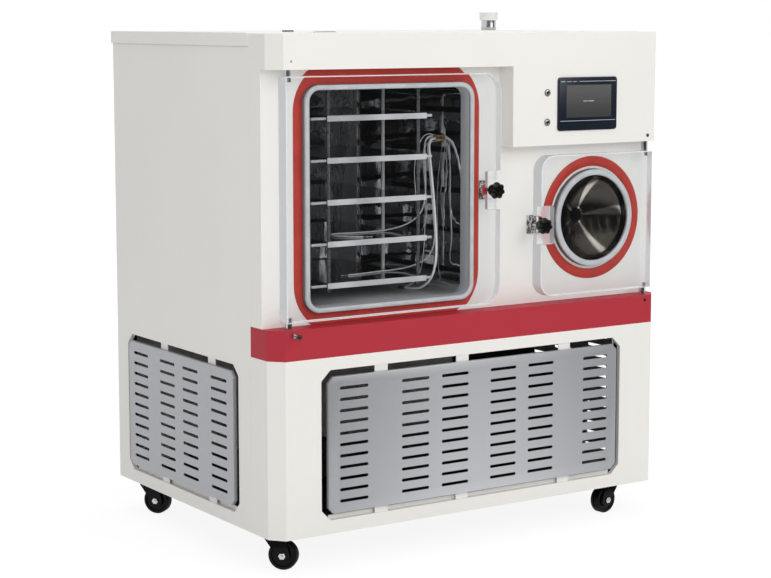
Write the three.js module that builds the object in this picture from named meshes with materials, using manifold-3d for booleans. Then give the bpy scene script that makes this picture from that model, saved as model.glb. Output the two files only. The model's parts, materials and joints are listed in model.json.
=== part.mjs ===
// Pilot freeze dryer: a cabinet on casters with a shelf chamber and a condenser pot,
// each closed by a thick clear door that a swing bolt and a star knob hold shut.
//
// Millimetres, +Z up, front towards -Y. Local sizes are taken from the cabinet's own
// edges: "across" from the left side, "back" from the front face, "down" from the top.

import * as THREE from 'three';
import { mergeVertices } from 'three/addons/utils/BufferGeometryUtils.js';
import Module from 'manifold-3d';

const wasm = await Module();
wasm.setup();

// ---------------------------------------------------------------- driving dimensions

const WIDTH = 1312;
const DEPTH = 924;
const BODY_HEIGHT = 1322;
const SHEET = 2;
const SEAT_GAP = 0.3;

// clear doors and what they close on
const DOOR_FRONT = 3;
const DOOR_THICKNESS = 40;
const SEAL_THICKNESS = 5;
const LIP_PROUD = 15;
const MAIN_DOOR_MARGIN = { left: 73, right: 72, top: 17, bottom: 17 };
const SMALL_DOOR_MARGIN = { left: 72, right: 53, top: 29, bottom: 22 };
const MAIN_DOOR_CORNER = 55;
const SMALL_DOOR_CORNER = 45;
const PIVOT_INSET = 16;
const PIVOT_RADIUS = 6;
const PIVOT_DEPTH = 14;
const PIVOT_CLEARANCE = 0.6;

// folded front covers
const CHAMFER_ACROSS = 33;
const CHAMFER_BACK = 38;
const COVER_RETURN = 60;
const FASCIA_HEIGHT = 92;
const CONTROL_GAP = 38;
const CONTROL_BOTTOM = 314;
const BAND_HEIGHT = 81;

// lid
const LID_RISE = 2;
const LID_RIM = 35;
const LID_OVERHANG = 4;

// openings with a slotted tray in front of them
const OPENING_ABOVE = 34;
const OPENING_BELOW = 37;
const OPENING_CORNER = 28;
const OPENING_RIM = 13;
const FRONT_OPENING_INSET = { left: 142, right: 150 };
const SIDE_OPENING_INSET = { front: 191.5, rear: 67.5 };
const TRAY_GAP = 18;
const TRAY_CORNER = 16;
const TRAY_PROUD = 7;
const TRAY_RETURN = 11;
const TAB_WIDTH = 42;
const TAB_REACH = 30;
const SLOT_LENGTH = 90;
const SLOT_HEIGHT = 8.5;
const SLOT_ROWS = 11;
const SLOT_END = 32;
const SLOT_EDGE = 80;

// where tabs and columns of slots stand, from -1 to 1 across their opening or tray
const FRONT_TABS = [-0.625, -0.1, 0.6];
const SIDE_TABS = [-0.53, 0.32];
const FRONT_SLOT_COLUMNS = [-1, -0.52, -0.2, 0.2, 0.52, 1];
const SIDE_SLOT_COLUMNS = [-1, -0.295, 0.295, 1];

// shelf chamber
const CHAMBER_FROM_LEFT = 129;
const CHAMBER_HEADROOM = 55;
const CHAMBER_FOOTROOM = 48;
const CHAMBER_WIDTH = 512;
const CHAMBER_HEIGHT = 570;
const CHAMBER_DEPTH = 560;
const CHAMBER_WALL = 15;
const CHAMBER_CORNER = 30;
const TRIM_THICKNESS = 2;
const TRIM_REVEAL = 26;
const TRIM_CORNER = 130;
const TRIM_OVERRUN = 20;

// shelves and their rods
const SHELF_COUNT = 5;
const SHELF_SIDE_ROOM = 96;
const SHELF_FRONT_ROOM = 67;
const SHELF_REAR_ROOM = 43;
const SHELF_ROOM_ABOVE = 78;
const SHELF_ROOM_BELOW = 44;
const SHELF_THICKNESS = 15;
const SHELF_PIN_RADIUS = 4;
const SHELF_PIN_LEFT = 48;
const SHELF_PIN_RIGHT = 20;
const ROD_RADIUS = 5;
const ROD_INSET_ACROSS = 15;
const ROD_INSET_FRONT = 20;
const ROD_INSET_REAR = 254;
const ROD_CLEARANCE = 0.4;

// condenser pot
const POT_FROM_RIGHT = 229;
const POT_RAISE = 9.5;
const POT_BORE = 246;
const POT_WALL = 18;
const POT_DEPTH = 80;
const POT_STRAIGHT = 22;
const POT_TRIM_GAP = 7.5;
const POT_TRIM_WIDTH = 29;
const PORT_RADIUS = 17;
const PORT_WALL = 4;
const PORT_REACH = 90;

// latches: a bracket on the panel, a swing bolt and a star knob
const LATCH_BRACKET_WIDTH = 32;
const LATCH_BRACKET_HEIGHT = 52;
const LATCH_PLATE = 4;
const LATCH_EAR = 5;
const LATCH_PIVOT_STANDOFF = 12;
const LATCH_PIN_RADIUS = 3;
const LATCH_EYE_RADIUS = 8;
const LATCH_EYE_HEIGHT = 14;
const BOLT_RADIUS = 5;
const BOLT_CLEARANCE = 0.5;
const KNOB_PROUD = 21;
const KNOB_THICKNESS = 20;
const KNOB_RADIUS = 24;
const KNOB_LOBES = 7;
const KNOB_HUB_RADIUS = 17;
const KNOB_HUB_LENGTH = 12;
const MAIN_LATCH_INSET = 22;
const SMALL_LATCH_INSET = 4;
const SMALL_LATCH_DROP = 10;
const BOLT_FROM_PLATE_EDGE = 22;
const POCKET_WIDTH = 46;
const POCKET_HEIGHT = 108;
const POCKET_DEPTH = 20;
const KNOB_PASSAGE = 2;

// controls
const SCREEN_WIDTH = 213;
const SCREEN_HEIGHT = 150;
const SCREEN_INSET = 154;
const SCREEN_ABOVE_EDGE = 39;
const SCREEN_PROUD = 5;
const SCREEN_BACK = 40;
const SCREEN_MARGIN = 8;
const SCREEN_CORNER = 9;
const BUTTON_INSET = 118;
const BUTTON_DROPS = [42, 124];
const BUTTON_RADIUS = 8;
const BUTTON_CLEARANCE = 0.5;
const BUTTON_PROUD = 5;
const BUTTON_LENGTH = 18;

// vent on the lid
const VENT_FROM_RIGHT = 112;
const VENT_FROM_REAR = 219;
const VENT_RADIUS = 23;
const VENT_BORE = 20;
const VENT_HEIGHT = 31;
const VENT_DROP = 60;
const VENT_CAP_RADIUS = 30;
const VENT_CAP_HEIGHT = 25;

// casters
const CASTER_PLATE = 84;
const CASTER_PLATE_THICKNESS = 4;
const WHEEL_RADIUS = 40;
const WHEEL_WIDTH = 30;
const WHEEL_HEADROOM = 3.7;
const WHEEL_TRAIL = 20;
const FORK_GAP = 2.5;
const FORK_LEG = 3;
const HEAD_RADIUS = 30;
const HEAD_HEIGHT = 10;
const AXLE_RADIUS = 6;
const AXLE_CLEARANCE = 0.5;
const NUT_RADIUS = 10;
const NUT_LENGTH = 6;
const CASTER_LEFT_INSET = { front: 55, back: 50 };
const CASTER_RIGHT_INSET = 121;
const CASTER_FRONT_INSET = { left: 91, right: 82 };
const CASTER_REAR_INSET = 107;

// frame and plant
const RAIL = 40;
const BASE_RAIL = 30;
const POST = 30;
const PAN_THICKNESS = 2;
const DECK_DROP = 38;
const DECK_THICKNESS = 3;
const COMPRESSOR_ACROSS = 330;
const COMPRESSOR_FROM_REAR = 364;
const COMPRESSOR_RADIUS = 110;
const COMPRESSOR_HEADROOM = 214;
const COIL_HEADROOM = 154;
const FOOT_MARGIN = 10;

// lock peg
const PEG_REACH = 40;
const PEG_ACROSS = 57;
const PEG_DROP = 13;
const PEG_RADIUS = 4;
const PEG_HEAD_RADIUS = 7;

// probe leads
const LEAD_RADIUS = 2;
const STRAND_RADIUS = 3.5;
const GLAND_BACK = 196;
const GLAND_DOWN = 293;
const GLAND_RADIUS = 12;
const GLAND_REACH = 16;
const LEAD_SIDES = 8;

// facets on round things
const FINE = 32;
const ROUND = 20;
const SMALL = 12;
const TINY = 8;
const ARC_STEPS = 6;

// ---------------------------------------------------------------- sizes that follow

// casters carry the body, and the doors set how deep the recess behind them is
const CASTER_HEIGHT = 2 * WHEEL_RADIUS + WHEEL_HEADROOM + HEAD_HEIGHT + SEAT_GAP + CASTER_PLATE_THICKNESS;
const DOOR_REAR = DOOR_FRONT + DOOR_THICKNESS;
const LIP_FRONT = DOOR_REAR + SEAL_THICKNESS;
const RECESS = LIP_FRONT + LIP_PROUD;
const COVER_DEPTH = RECESS + COVER_RETURN;
const LATCH_PIVOT_BACK = RECESS - LATCH_PIVOT_STANDOFF;

// the chamber sets how far down the red band lies
const CHAMBER_CENTRE = CHAMBER_FROM_LEFT + CHAMBER_WIDTH / 2;
const CHAMBER_TOP = FASCIA_HEIGHT + CHAMBER_HEADROOM;
const CHAMBER_MIDDLE = CHAMBER_TOP + CHAMBER_HEIGHT / 2;
const BAND_TOP = CHAMBER_TOP + CHAMBER_HEIGHT + CHAMBER_FOOTROOM;
const DECK_DOWN = BAND_TOP + DECK_DROP;
const MAIN_DOOR = {
  left: CHAMBER_CENTRE - CHAMBER_WIDTH / 2 - CHAMBER_WALL - MAIN_DOOR_MARGIN.left,
  right: CHAMBER_CENTRE + CHAMBER_WIDTH / 2 + CHAMBER_WALL + MAIN_DOOR_MARGIN.right,
  top: FASCIA_HEIGHT + MAIN_DOOR_MARGIN.top,
  bottom: BAND_TOP - MAIN_DOOR_MARGIN.bottom,
  corner: MAIN_DOOR_CORNER,
};
const CONTROL_LEFT = MAIN_DOOR.right + CONTROL_GAP;

// shelves fill the chamber but for the room round them
const SHELF_WIDTH = CHAMBER_WIDTH - 2 * SHELF_SIDE_ROOM;
const SHELF_FRONT = LIP_FRONT + SHELF_FRONT_ROOM;
const SHELF_DEPTH = CHAMBER_DEPTH - SHELF_FRONT_ROOM - SHELF_REAR_ROOM;
const SHELF_FIRST = CHAMBER_TOP + SHELF_ROOM_ABOVE;
const SHELF_PITCH = (CHAMBER_HEIGHT - SHELF_ROOM_ABOVE - SHELF_ROOM_BELOW) / (SHELF_COUNT - 1);
const ROD_BACKS = [SHELF_FRONT + ROD_INSET_FRONT, SHELF_FRONT + SHELF_DEPTH - ROD_INSET_REAR];

// the pot lies midway between the control box and the band
const POT_CENTRE = WIDTH - POT_FROM_RIGHT;
const POT_MIDDLE = (CONTROL_BOTTOM + BAND_TOP) / 2 - POT_RAISE;
const POT_OUTER = POT_BORE / 2 + POT_WALL;
const POT_TRIM_INNER = POT_OUTER + POT_TRIM_GAP;
const DISH_RISE = POT_DEPTH - POT_STRAIGHT;
const DISH_RADIUS = ((POT_BORE / 2) ** 2 + DISH_RISE ** 2) / (2 * DISH_RISE);
const POT_REAR = LIP_FRONT + POT_DEPTH + POT_WALL;
const SMALL_DOOR = {
  left: POT_CENTRE - POT_OUTER - SMALL_DOOR_MARGIN.left,
  right: POT_CENTRE + POT_OUTER + SMALL_DOOR_MARGIN.right,
  top: CONTROL_BOTTOM + SMALL_DOOR_MARGIN.top,
  bottom: BAND_TOP - SMALL_DOOR_MARGIN.bottom,
  corner: SMALL_DOOR_CORNER,
};
const MAIN_LATCH = { across: MAIN_DOOR.right - MAIN_LATCH_INSET, down: CHAMBER_MIDDLE, side: 1 };
const SMALL_LATCH = {
  across: SMALL_DOOR.left + SMALL_LATCH_INSET,
  down: POT_MIDDLE + SMALL_LATCH_DROP,
  side: -1,
};

// controls keep their place in the control box
const SCREEN = {
  left: CONTROL_LEFT + SCREEN_INSET,
  right: CONTROL_LEFT + SCREEN_INSET + SCREEN_WIDTH,
  top: CONTROL_BOTTOM - SCREEN_ABOVE_EDGE - SCREEN_HEIGHT,
  bottom: CONTROL_BOTTOM - SCREEN_ABOVE_EDGE,
};
const BUTTON_ACROSS = CONTROL_LEFT + BUTTON_INSET;
const BUTTON_DOWNS = BUTTON_DROPS.map((drop) => SCREEN.top + drop);

// openings, trays and slots fill the lower part
const OPENING_TOP = BAND_TOP + BAND_HEIGHT + OPENING_ABOVE;
const OPENING_HEIGHT = BODY_HEIGHT - OPENING_BELOW - OPENING_TOP;
const FRONT_OPENING_WIDTH = WIDTH - FRONT_OPENING_INSET.left - FRONT_OPENING_INSET.right;
const FRONT_OPENING_CENTRE = FRONT_OPENING_INSET.left + FRONT_OPENING_WIDTH / 2;
const SIDE_OPENING_WIDTH = DEPTH - SIDE_OPENING_INSET.front - SIDE_OPENING_INSET.rear;
const SIDE_OPENING_CENTRE = SIDE_OPENING_INSET.front + SIDE_OPENING_WIDTH / 2;
const SLOT_PITCH = (OPENING_HEIGHT - 2 * TRAY_GAP - 2 * SLOT_END) / (SLOT_ROWS - 1);

// the vent, the peg and the plant keep to their own edges
const VENT_ACROSS = WIDTH - VENT_FROM_RIGHT;
const VENT_BACK = DEPTH - VENT_FROM_REAR;
const PEG_DOWN = BAND_TOP + PEG_DROP;
const COMPRESSOR_BACK = DEPTH - COMPRESSOR_FROM_REAR;
const PLANT_FLOOR = BODY_HEIGHT - SHEET - SEAT_GAP - BASE_RAIL;
const PLANT_HEIGHT = PLANT_FLOOR - DECK_DOWN - DECK_THICKNESS;
const COMPRESSOR_HEIGHT = PLANT_HEIGHT - COMPRESSOR_HEADROOM;
const COIL_HEIGHT = PLANT_HEIGHT - COIL_HEADROOM;
const CASTERS = {
  front_left: { across: CASTER_LEFT_INSET.front, back: CASTER_FRONT_INSET.left, turn: -44 },
  front_right: { across: WIDTH - CASTER_RIGHT_INSET, back: CASTER_FRONT_INSET.right, turn: 8 },
  back_left: { across: CASTER_LEFT_INSET.back, back: DEPTH - CASTER_REAR_INSET, turn: -51 },
  back_right: { across: WIDTH - CASTER_RIGHT_INSET, back: DEPTH - CASTER_REAR_INSET, turn: 8 },
};

// ---------------------------------------------------------------- frame of reference

const LEFT_X = -WIDTH / 2;
const FRONT_Y = -(DEPTH + LID_OVERHANG - PEG_REACH) / 2;
const TOP_Z = CASTER_HEIGHT + BODY_HEIGHT;

const across = (value) => LEFT_X + value;
const back = (value) => FRONT_Y + value;
const down = (value) => TOP_Z - value;

// ---------------------------------------------------------------- finishes

function finish(color, roughness, metalness) {
  return { color, roughness, metalness };
}

const CREAM_PAINT = finish(0xe8e5df, 0.45, 0);
const RED_PAINT = finish(0xaf3944, 0.45, 0);
const GREY_PAINT = finish(0xafb0b4, 0.5, 0.2);
const DARK_PAINT = finish(0x1c1c1e, 0.6, 0);
const STEEL = finish(0xc8cacd, 0.25, 1);
const POLISHED = finish(0x8d9094, 0.12, 1);
const ALUMINIUM = finish(0xb9bbbf, 0.35, 1);
const RED_TRIM = finish(0xb03e36, 0.55, 0);
const SEAL = finish(0xb4b8bc, 0.6, 0);
const ACRYLIC = finish(0xdfe8ee, 0.05, 0);
const BLACK_PLASTIC = finish(0x121214, 0.4, 0);
const SCREEN_GLASS = finish(0x1a222e, 0.15, 0);
const WHITE_PLASTIC = finish(0xeceae6, 0.5, 0);
const TYRE = finish(0x161617, 0.7, 0);
const CABLE = finish(0xdadada, 0.5, 0);
const BRASS = finish(0xc7a762, 0.35, 1);

// ---------------------------------------------------------------- solid helpers

function toSolid(geometry) {
  const bare = geometry.clone();
  bare.deleteAttribute('normal');
  bare.deleteAttribute('uv');
  const merged = mergeVertices(bare, 1e-4);
  const vertProperties = new Float32Array(merged.attributes.position.array);
  const triVerts = new Uint32Array(merged.index.array);
  return new wasm.Manifold(new wasm.Mesh({ numProp: 3, vertProperties, triVerts }));
}

function toGeometry(solid) {
  const { vertProperties, triVerts } = solid.getMesh();
  const geometry = new THREE.BufferGeometry();
  geometry.setAttribute('position', new THREE.BufferAttribute(vertProperties, 3));
  geometry.setIndex(new THREE.BufferAttribute(triVerts, 1));
  geometry.computeVertexNormals();
  return geometry;
}

function join(first, ...others) {
  return others.reduce((sum, other) => sum.add(other), first);
}

function cut(first, ...others) {
  return others.reduce((rest, other) => rest.subtract(other), first);
}

// box between two corners of the cabinet's own measures
function block(left, right, front, rear, top, bottom) {
  const geometry = new THREE.BoxGeometry(right - left, rear - front, bottom - top);
  geometry.translate(
    across((left + right) / 2),
    back((front + rear) / 2),
    down((top + bottom) / 2),
  );
  return toSolid(geometry);
}

// cylinder along x, y or z with its middle at a point of the world frame;
// a flat facet faces down or forward when it lies
function rod(axis, radius, length, middle, facets = ROUND) {
  const start = Math.PI / facets;
  const geometry = new THREE.CylinderGeometry(radius, radius, length, facets, 1, false, start);
  if (axis === 'x') {
    geometry.rotateZ(-Math.PI / 2);
  }
  if (axis === 'z') {
    geometry.rotateX(Math.PI / 2);
  }
  geometry.translate(...middle);
  return toSolid(geometry);
}

function extrude(shape, length, curveSegments = ARC_STEPS) {
  return new THREE.ExtrudeGeometry(shape, { depth: length, bevelEnabled: false, curveSegments });
}

// a plan outline (x, y) raised between two heights
function raise(shape, low, high) {
  const geometry = extrude(shape, high - low);
  geometry.translate(0, 0, low);
  return toSolid(geometry);
}

// a front outline (x, z) carried from one y to another
function carryBack(shape, near, far) {
  const geometry = extrude(shape, far - near);
  geometry.rotateX(Math.PI / 2);
  geometry.translate(0, far, 0);
  return toSolid(geometry);
}

// a side outline (y, z) carried from one x to another
function carryAcross(shape, near, far) {
  const geometry = extrude(shape, far - near);
  const turn = new THREE.Matrix4().makeBasis(
    new THREE.Vector3(0, 1, 0),
    new THREE.Vector3(0, 0, 1),
    new THREE.Vector3(1, 0, 0),
  );
  geometry.applyMatrix4(turn);
  geometry.translate(near, 0, 0);
  return toSolid(geometry);
}

function polygon(points) {
  return new THREE.Shape(points.map(([x, y]) => new THREE.Vector2(x, y)));
}

// rectangle about a centre with its own radius at each side's corners
function roundedRectangle(centreX, centreY, width, height, leftRadius, rightRadius = leftRadius) {
  const shape = new THREE.Shape();
  const left = centreX - width / 2;
  const right = centreX + width / 2;
  const low = centreY - height / 2;
  const high = centreY + height / 2;
  shape.moveTo(left + leftRadius, low);
  shape.lineTo(right - rightRadius, low);
  if (rightRadius > 0) {
    shape.absarc(right - rightRadius, low + rightRadius, rightRadius, -Math.PI / 2, 0, false);
    shape.lineTo(right, high - rightRadius);
    shape.absarc(right - rightRadius, high - rightRadius, rightRadius, 0, Math.PI / 2, false);
  } else {
    shape.lineTo(right, high);
  }
  shape.lineTo(left + leftRadius, high);
  if (leftRadius > 0) {
    shape.absarc(left + leftRadius, high - leftRadius, leftRadius, Math.PI / 2, Math.PI, false);
    shape.lineTo(left, low + leftRadius);
    shape.absarc(left + leftRadius, low + leftRadius, leftRadius, Math.PI, Math.PI * 1.5, false);
  } else {
    shape.lineTo(left, low);
  }
  return shape;
}

function octagon(centreX, centreY, width, height, corner) {
  const x = width / 2;
  const y = height / 2;
  return polygon([
    [centreX - x + corner, centreY - y],
    [centreX + x - corner, centreY - y],
    [centreX + x, centreY - y + corner],
    [centreX + x, centreY + y - corner],
    [centreX + x - corner, centreY + y],
    [centreX - x + corner, centreY + y],
    [centreX - x, centreY + y - corner],
    [centreX - x, centreY - y + corner],
  ]);
}

const group = new THREE.Group();

function addPart(name, solid, { color, roughness, metalness }) {
  const material = new THREE.MeshStandardMaterial({ color, roughness, metalness });
  const mesh = new THREE.Mesh(toGeometry(solid), material);
  mesh.name = name;
  group.add(mesh);
}

// ---------------------------------------------------------------- folded front covers

// plan of the covers: flat front, a chamfer at each end and short side returns
function coverPlan(inset) {
  const run = Math.hypot(CHAMFER_ACROSS, CHAMFER_BACK);
  const grow = 1 + (inset * run) / (CHAMFER_ACROSS * CHAMFER_BACK);
  const sideBack = CHAMFER_BACK * (grow - inset / CHAMFER_ACROSS);
  const frontAcross = CHAMFER_ACROSS * (grow - inset / CHAMFER_BACK);
  const rear = COVER_DEPTH + (inset > 0 ? 1 : 0);
  return polygon([
    [across(inset), back(rear)],
    [across(inset), back(sideBack)],
    [across(frontAcross), back(inset)],
    [across(WIDTH - frontAcross), back(inset)],
    [across(WIDTH - inset), back(sideBack)],
    [across(WIDTH - inset), back(rear)],
  ]);
}

function coverShell(top, bottom, roof, floor) {
  const outer = raise(coverPlan(0), down(bottom), down(top));
  const inner = raise(coverPlan(SHEET), down(bottom - floor), down(top + roof));
  return cut(outer, inner);
}

function makeHeadCover() {
  const beyond = WIDTH + 1;
  const boxFront = block(CONTROL_LEFT, beyond, -1, RECESS, FASCIA_HEIGHT - 1, CONTROL_BOTTOM);
  const boxReturn = block(WIDTH - SHEET, beyond, RECESS - 1, COVER_DEPTH + 1, FASCIA_HEIGHT - 1,
    CONTROL_BOTTOM);
  const boxPlan = raise(coverPlan(0), down(CONTROL_BOTTOM), down(FASCIA_HEIGHT - 1));
  const boxOuter = boxPlan.intersect(join(boxFront, boxReturn));
  const hollow = block(CONTROL_LEFT + SHEET, beyond, -1, COVER_DEPTH + 2, FASCIA_HEIGHT - SHEET - 1,
    CONTROL_BOTTOM - SHEET);
  const hollowPlan = raise(coverPlan(SHEET), down(CONTROL_BOTTOM), down(FASCIA_HEIGHT - SHEET - 1));
  const fascia = coverShell(0, FASCIA_HEIGHT, SHEET, SHEET);
  const body = cut(join(fascia, boxOuter), hollowPlan.intersect(hollow));
  const window = block(SCREEN.left + SCREEN_MARGIN, SCREEN.right - SCREEN_MARGIN, -1, SHEET + 1,
    SCREEN.top + SCREEN_MARGIN, SCREEN.bottom - SCREEN_MARGIN);
  const buttonHoles = BUTTON_DOWNS.map((place) => rod('y', BUTTON_RADIUS + BUTTON_CLEARANCE, SHEET * 3,
    [across(BUTTON_ACROSS), back(0), down(place)]));
  return cut(body, window, ...buttonHoles);
}

function makeRecessPanel() {
  const left = block(0, CONTROL_LEFT + RAIL, RECESS, RECESS + SHEET, FASCIA_HEIGHT, BAND_TOP);
  const behindControls = block(CONTROL_LEFT, WIDTH - SHEET - SEAT_GAP, RECESS, RECESS + SHEET,
    FASCIA_HEIGHT, CONTROL_BOTTOM + 1);
  const right = block(CONTROL_LEFT, WIDTH, RECESS, RECESS + SHEET, CONTROL_BOTTOM, BAND_TOP);
  const leftReturn = block(0, SHEET, RECESS, COVER_DEPTH, FASCIA_HEIGHT, BAND_TOP);
  const rightReturn = block(WIDTH - SHEET, WIDTH, RECESS, COVER_DEPTH, CONTROL_BOTTOM, BAND_TOP);
  const chamberHole = carryBack(chamberOutline(CHAMBER_WALL + SEAT_GAP), back(RECESS - 1),
    back(RECESS + SHEET + 1));
  const potHole = rod('y', POT_OUTER + SEAT_GAP * 2, SHEET * 4,
    [across(POT_CENTRE), back(RECESS), down(POT_MIDDLE)], FINE);
  return cut(join(left, behindControls, right, leftReturn, rightReturn), chamberHole, potHole);
}

function makeRedBand() {
  return coverShell(BAND_TOP, BAND_TOP + BAND_HEIGHT, SHEET, SHEET);
}

function tabPlaces(tabs, centre, width) {
  return tabs.map((tab) => centre + tab * width / 2);
}

// an octagonal opening with a flange folded inwards and tabs that carry the tray
function makeLowerFrontPanel() {
  const top = BAND_TOP + BAND_HEIGHT;
  const middle = down(OPENING_TOP + OPENING_HEIGHT / 2);
  const centre = across(FRONT_OPENING_CENTRE);
  const shell = coverShell(top, BODY_HEIGHT, -1, -1);
  const opening = octagon(centre, middle, FRONT_OPENING_WIDTH, OPENING_HEIGHT, OPENING_CORNER);
  const rimOutline = octagon(centre, middle, FRONT_OPENING_WIDTH + 2 * SHEET, OPENING_HEIGHT + 2 * SHEET,
    OPENING_CORNER + SHEET);
  const rim = carryBack(rimOutline, back(0), back(OPENING_RIM));
  const through = carryBack(opening, back(-1), back(OPENING_RIM + 1));
  const tabFront = TRAY_RETURN - TRAY_PROUD + SEAT_GAP;
  const tabs = tabPlaces(FRONT_TABS, FRONT_OPENING_CENTRE, FRONT_OPENING_WIDTH).flatMap((place) => [
    block(place - TAB_WIDTH / 2, place + TAB_WIDTH / 2, tabFront, tabFront + SHEET,
      OPENING_TOP - SHEET, OPENING_TOP + TAB_REACH),
    block(place - TAB_WIDTH / 2, place + TAB_WIDTH / 2, tabFront, tabFront + SHEET,
      OPENING_TOP + OPENING_HEIGHT - TAB_REACH, OPENING_TOP + OPENING_HEIGHT + SHEET),
  ]);
  return join(cut(join(shell, rim), through), ...tabs);
}

// ---------------------------------------------------------------- side, back and top

// the left side's panel lies on x = 0 of the cabinet; the right one is its mirror
function makeSidePanel(mirrored) {
  const top = LID_RIM - LID_RISE + SEAT_GAP;
  const middle = down(OPENING_TOP + OPENING_HEIGHT / 2);
  const centre = back(SIDE_OPENING_CENTRE);
  const inner = OPENING_RIM;
  const plate = block(0, SHEET, COVER_DEPTH + SEAT_GAP, DEPTH, top, BODY_HEIGHT);
  const opening = octagon(centre, middle, SIDE_OPENING_WIDTH, OPENING_HEIGHT, OPENING_CORNER);
  const rimOutline = octagon(centre, middle, SIDE_OPENING_WIDTH + 2 * SHEET, OPENING_HEIGHT + 2 * SHEET,
    OPENING_CORNER + SHEET);
  const rim = carryAcross(rimOutline, across(0), across(inner));
  const through = carryAcross(opening, across(-1), across(inner + 1));
  const tabFront = TRAY_RETURN - TRAY_PROUD + SEAT_GAP;
  const tabs = tabPlaces(SIDE_TABS, SIDE_OPENING_CENTRE, SIDE_OPENING_WIDTH).flatMap((place) => [
    block(tabFront, tabFront + SHEET, place - TAB_WIDTH / 2, place + TAB_WIDTH / 2,
      OPENING_TOP - SHEET, OPENING_TOP + TAB_REACH),
    block(tabFront, tabFront + SHEET, place - TAB_WIDTH / 2, place + TAB_WIDTH / 2,
      OPENING_TOP + OPENING_HEIGHT - TAB_REACH, OPENING_TOP + OPENING_HEIGHT + SHEET),
  ]);
  const panel = join(cut(join(plate, rim), through), ...tabs);
  return mirrored ? panel.mirror([1, 0, 0]) : panel;
}

function makeBackPanel() {
  const side = SHEET + SEAT_GAP;
  return block(side, WIDTH - side, DEPTH - SHEET, DEPTH, LID_RIM - LID_RISE + SEAT_GAP, BODY_HEIGHT);
}

function makeLid() {
  const front = COVER_DEPTH + SEAT_GAP;
  const rear = DEPTH + LID_OVERHANG;
  const right = WIDTH + LID_OVERHANG;
  const bottom = LID_RIM - LID_RISE;
  const outer = block(-LID_OVERHANG, right, front, rear, -LID_RISE, bottom);
  const inner = block(SHEET - LID_OVERHANG, right - SHEET, front + SHEET, rear - SHEET,
    SHEET - LID_RISE, bottom + 1);
  const ventHole = rod('z', VENT_RADIUS + BOLT_CLEARANCE, LID_RIM,
    [across(VENT_ACROSS), back(VENT_BACK), down(0)]);
  return cut(outer, inner, ventHole);
}

// ---------------------------------------------------------------- slotted trays

// a tray in the (u, v) plane of its opening: outline, folded edge and rows of slots
function trayPieces(centreU, width) {
  const middle = down(OPENING_TOP + OPENING_HEIGHT / 2);
  const wide = width - 2 * TRAY_GAP;
  const high = OPENING_HEIGHT - 2 * TRAY_GAP;
  return {
    outer: octagon(centreU, middle, wide, high, TRAY_CORNER),
    inner: octagon(centreU, middle, wide - 2 * SHEET, high - 2 * SHEET, TRAY_CORNER - SHEET),
    middle,
  };
}

function slotOutlines(centreU, middle, columns, width) {
  const outlines = [];
  const reach = width / 2 - TRAY_GAP - SLOT_EDGE;
  for (const column of columns) {
    for (let row = 0; row < SLOT_ROWS; row += 1) {
      const v = middle + (row - (SLOT_ROWS - 1) / 2) * SLOT_PITCH;
      outlines.push(roundedRectangle(centreU + column * reach, v, SLOT_LENGTH, SLOT_HEIGHT, 0));
    }
  }
  return outlines;
}

function makeFrontTray() {
  const centre = across(FRONT_OPENING_CENTRE);
  const { outer, inner, middle } = trayPieces(centre, FRONT_OPENING_WIDTH);
  const near = back(-TRAY_PROUD);
  const body = carryBack(outer, near, near + TRAY_RETURN);
  const hollow = carryBack(inner, near + SHEET, near + TRAY_RETURN + 1);
  const slots = slotOutlines(centre, middle, FRONT_SLOT_COLUMNS, FRONT_OPENING_WIDTH)
    .map((outline) => carryBack(outline, near - 1, near + SHEET + 1));
  return cut(body, hollow, wasm.Manifold.union(slots));
}

function makeSideTray(mirrored) {
  const centre = back(SIDE_OPENING_CENTRE);
  const { outer, inner, middle } = trayPieces(centre, SIDE_OPENING_WIDTH);
  const near = across(-TRAY_PROUD);
  const body = carryAcross(outer, near, near + TRAY_RETURN);
  const hollow = carryAcross(inner, near + SHEET, near + TRAY_RETURN + 1);
  const slots = slotOutlines(centre, middle, SIDE_SLOT_COLUMNS, SIDE_OPENING_WIDTH)
    .map((outline) => carryAcross(outline, near - 1, near + SHEET + 1));
  const tray = cut(body, hollow, wasm.Manifold.union(slots));
  return mirrored ? tray.mirror([1, 0, 0]) : tray;
}

// ---------------------------------------------------------------- frame inside the cabinet

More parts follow.
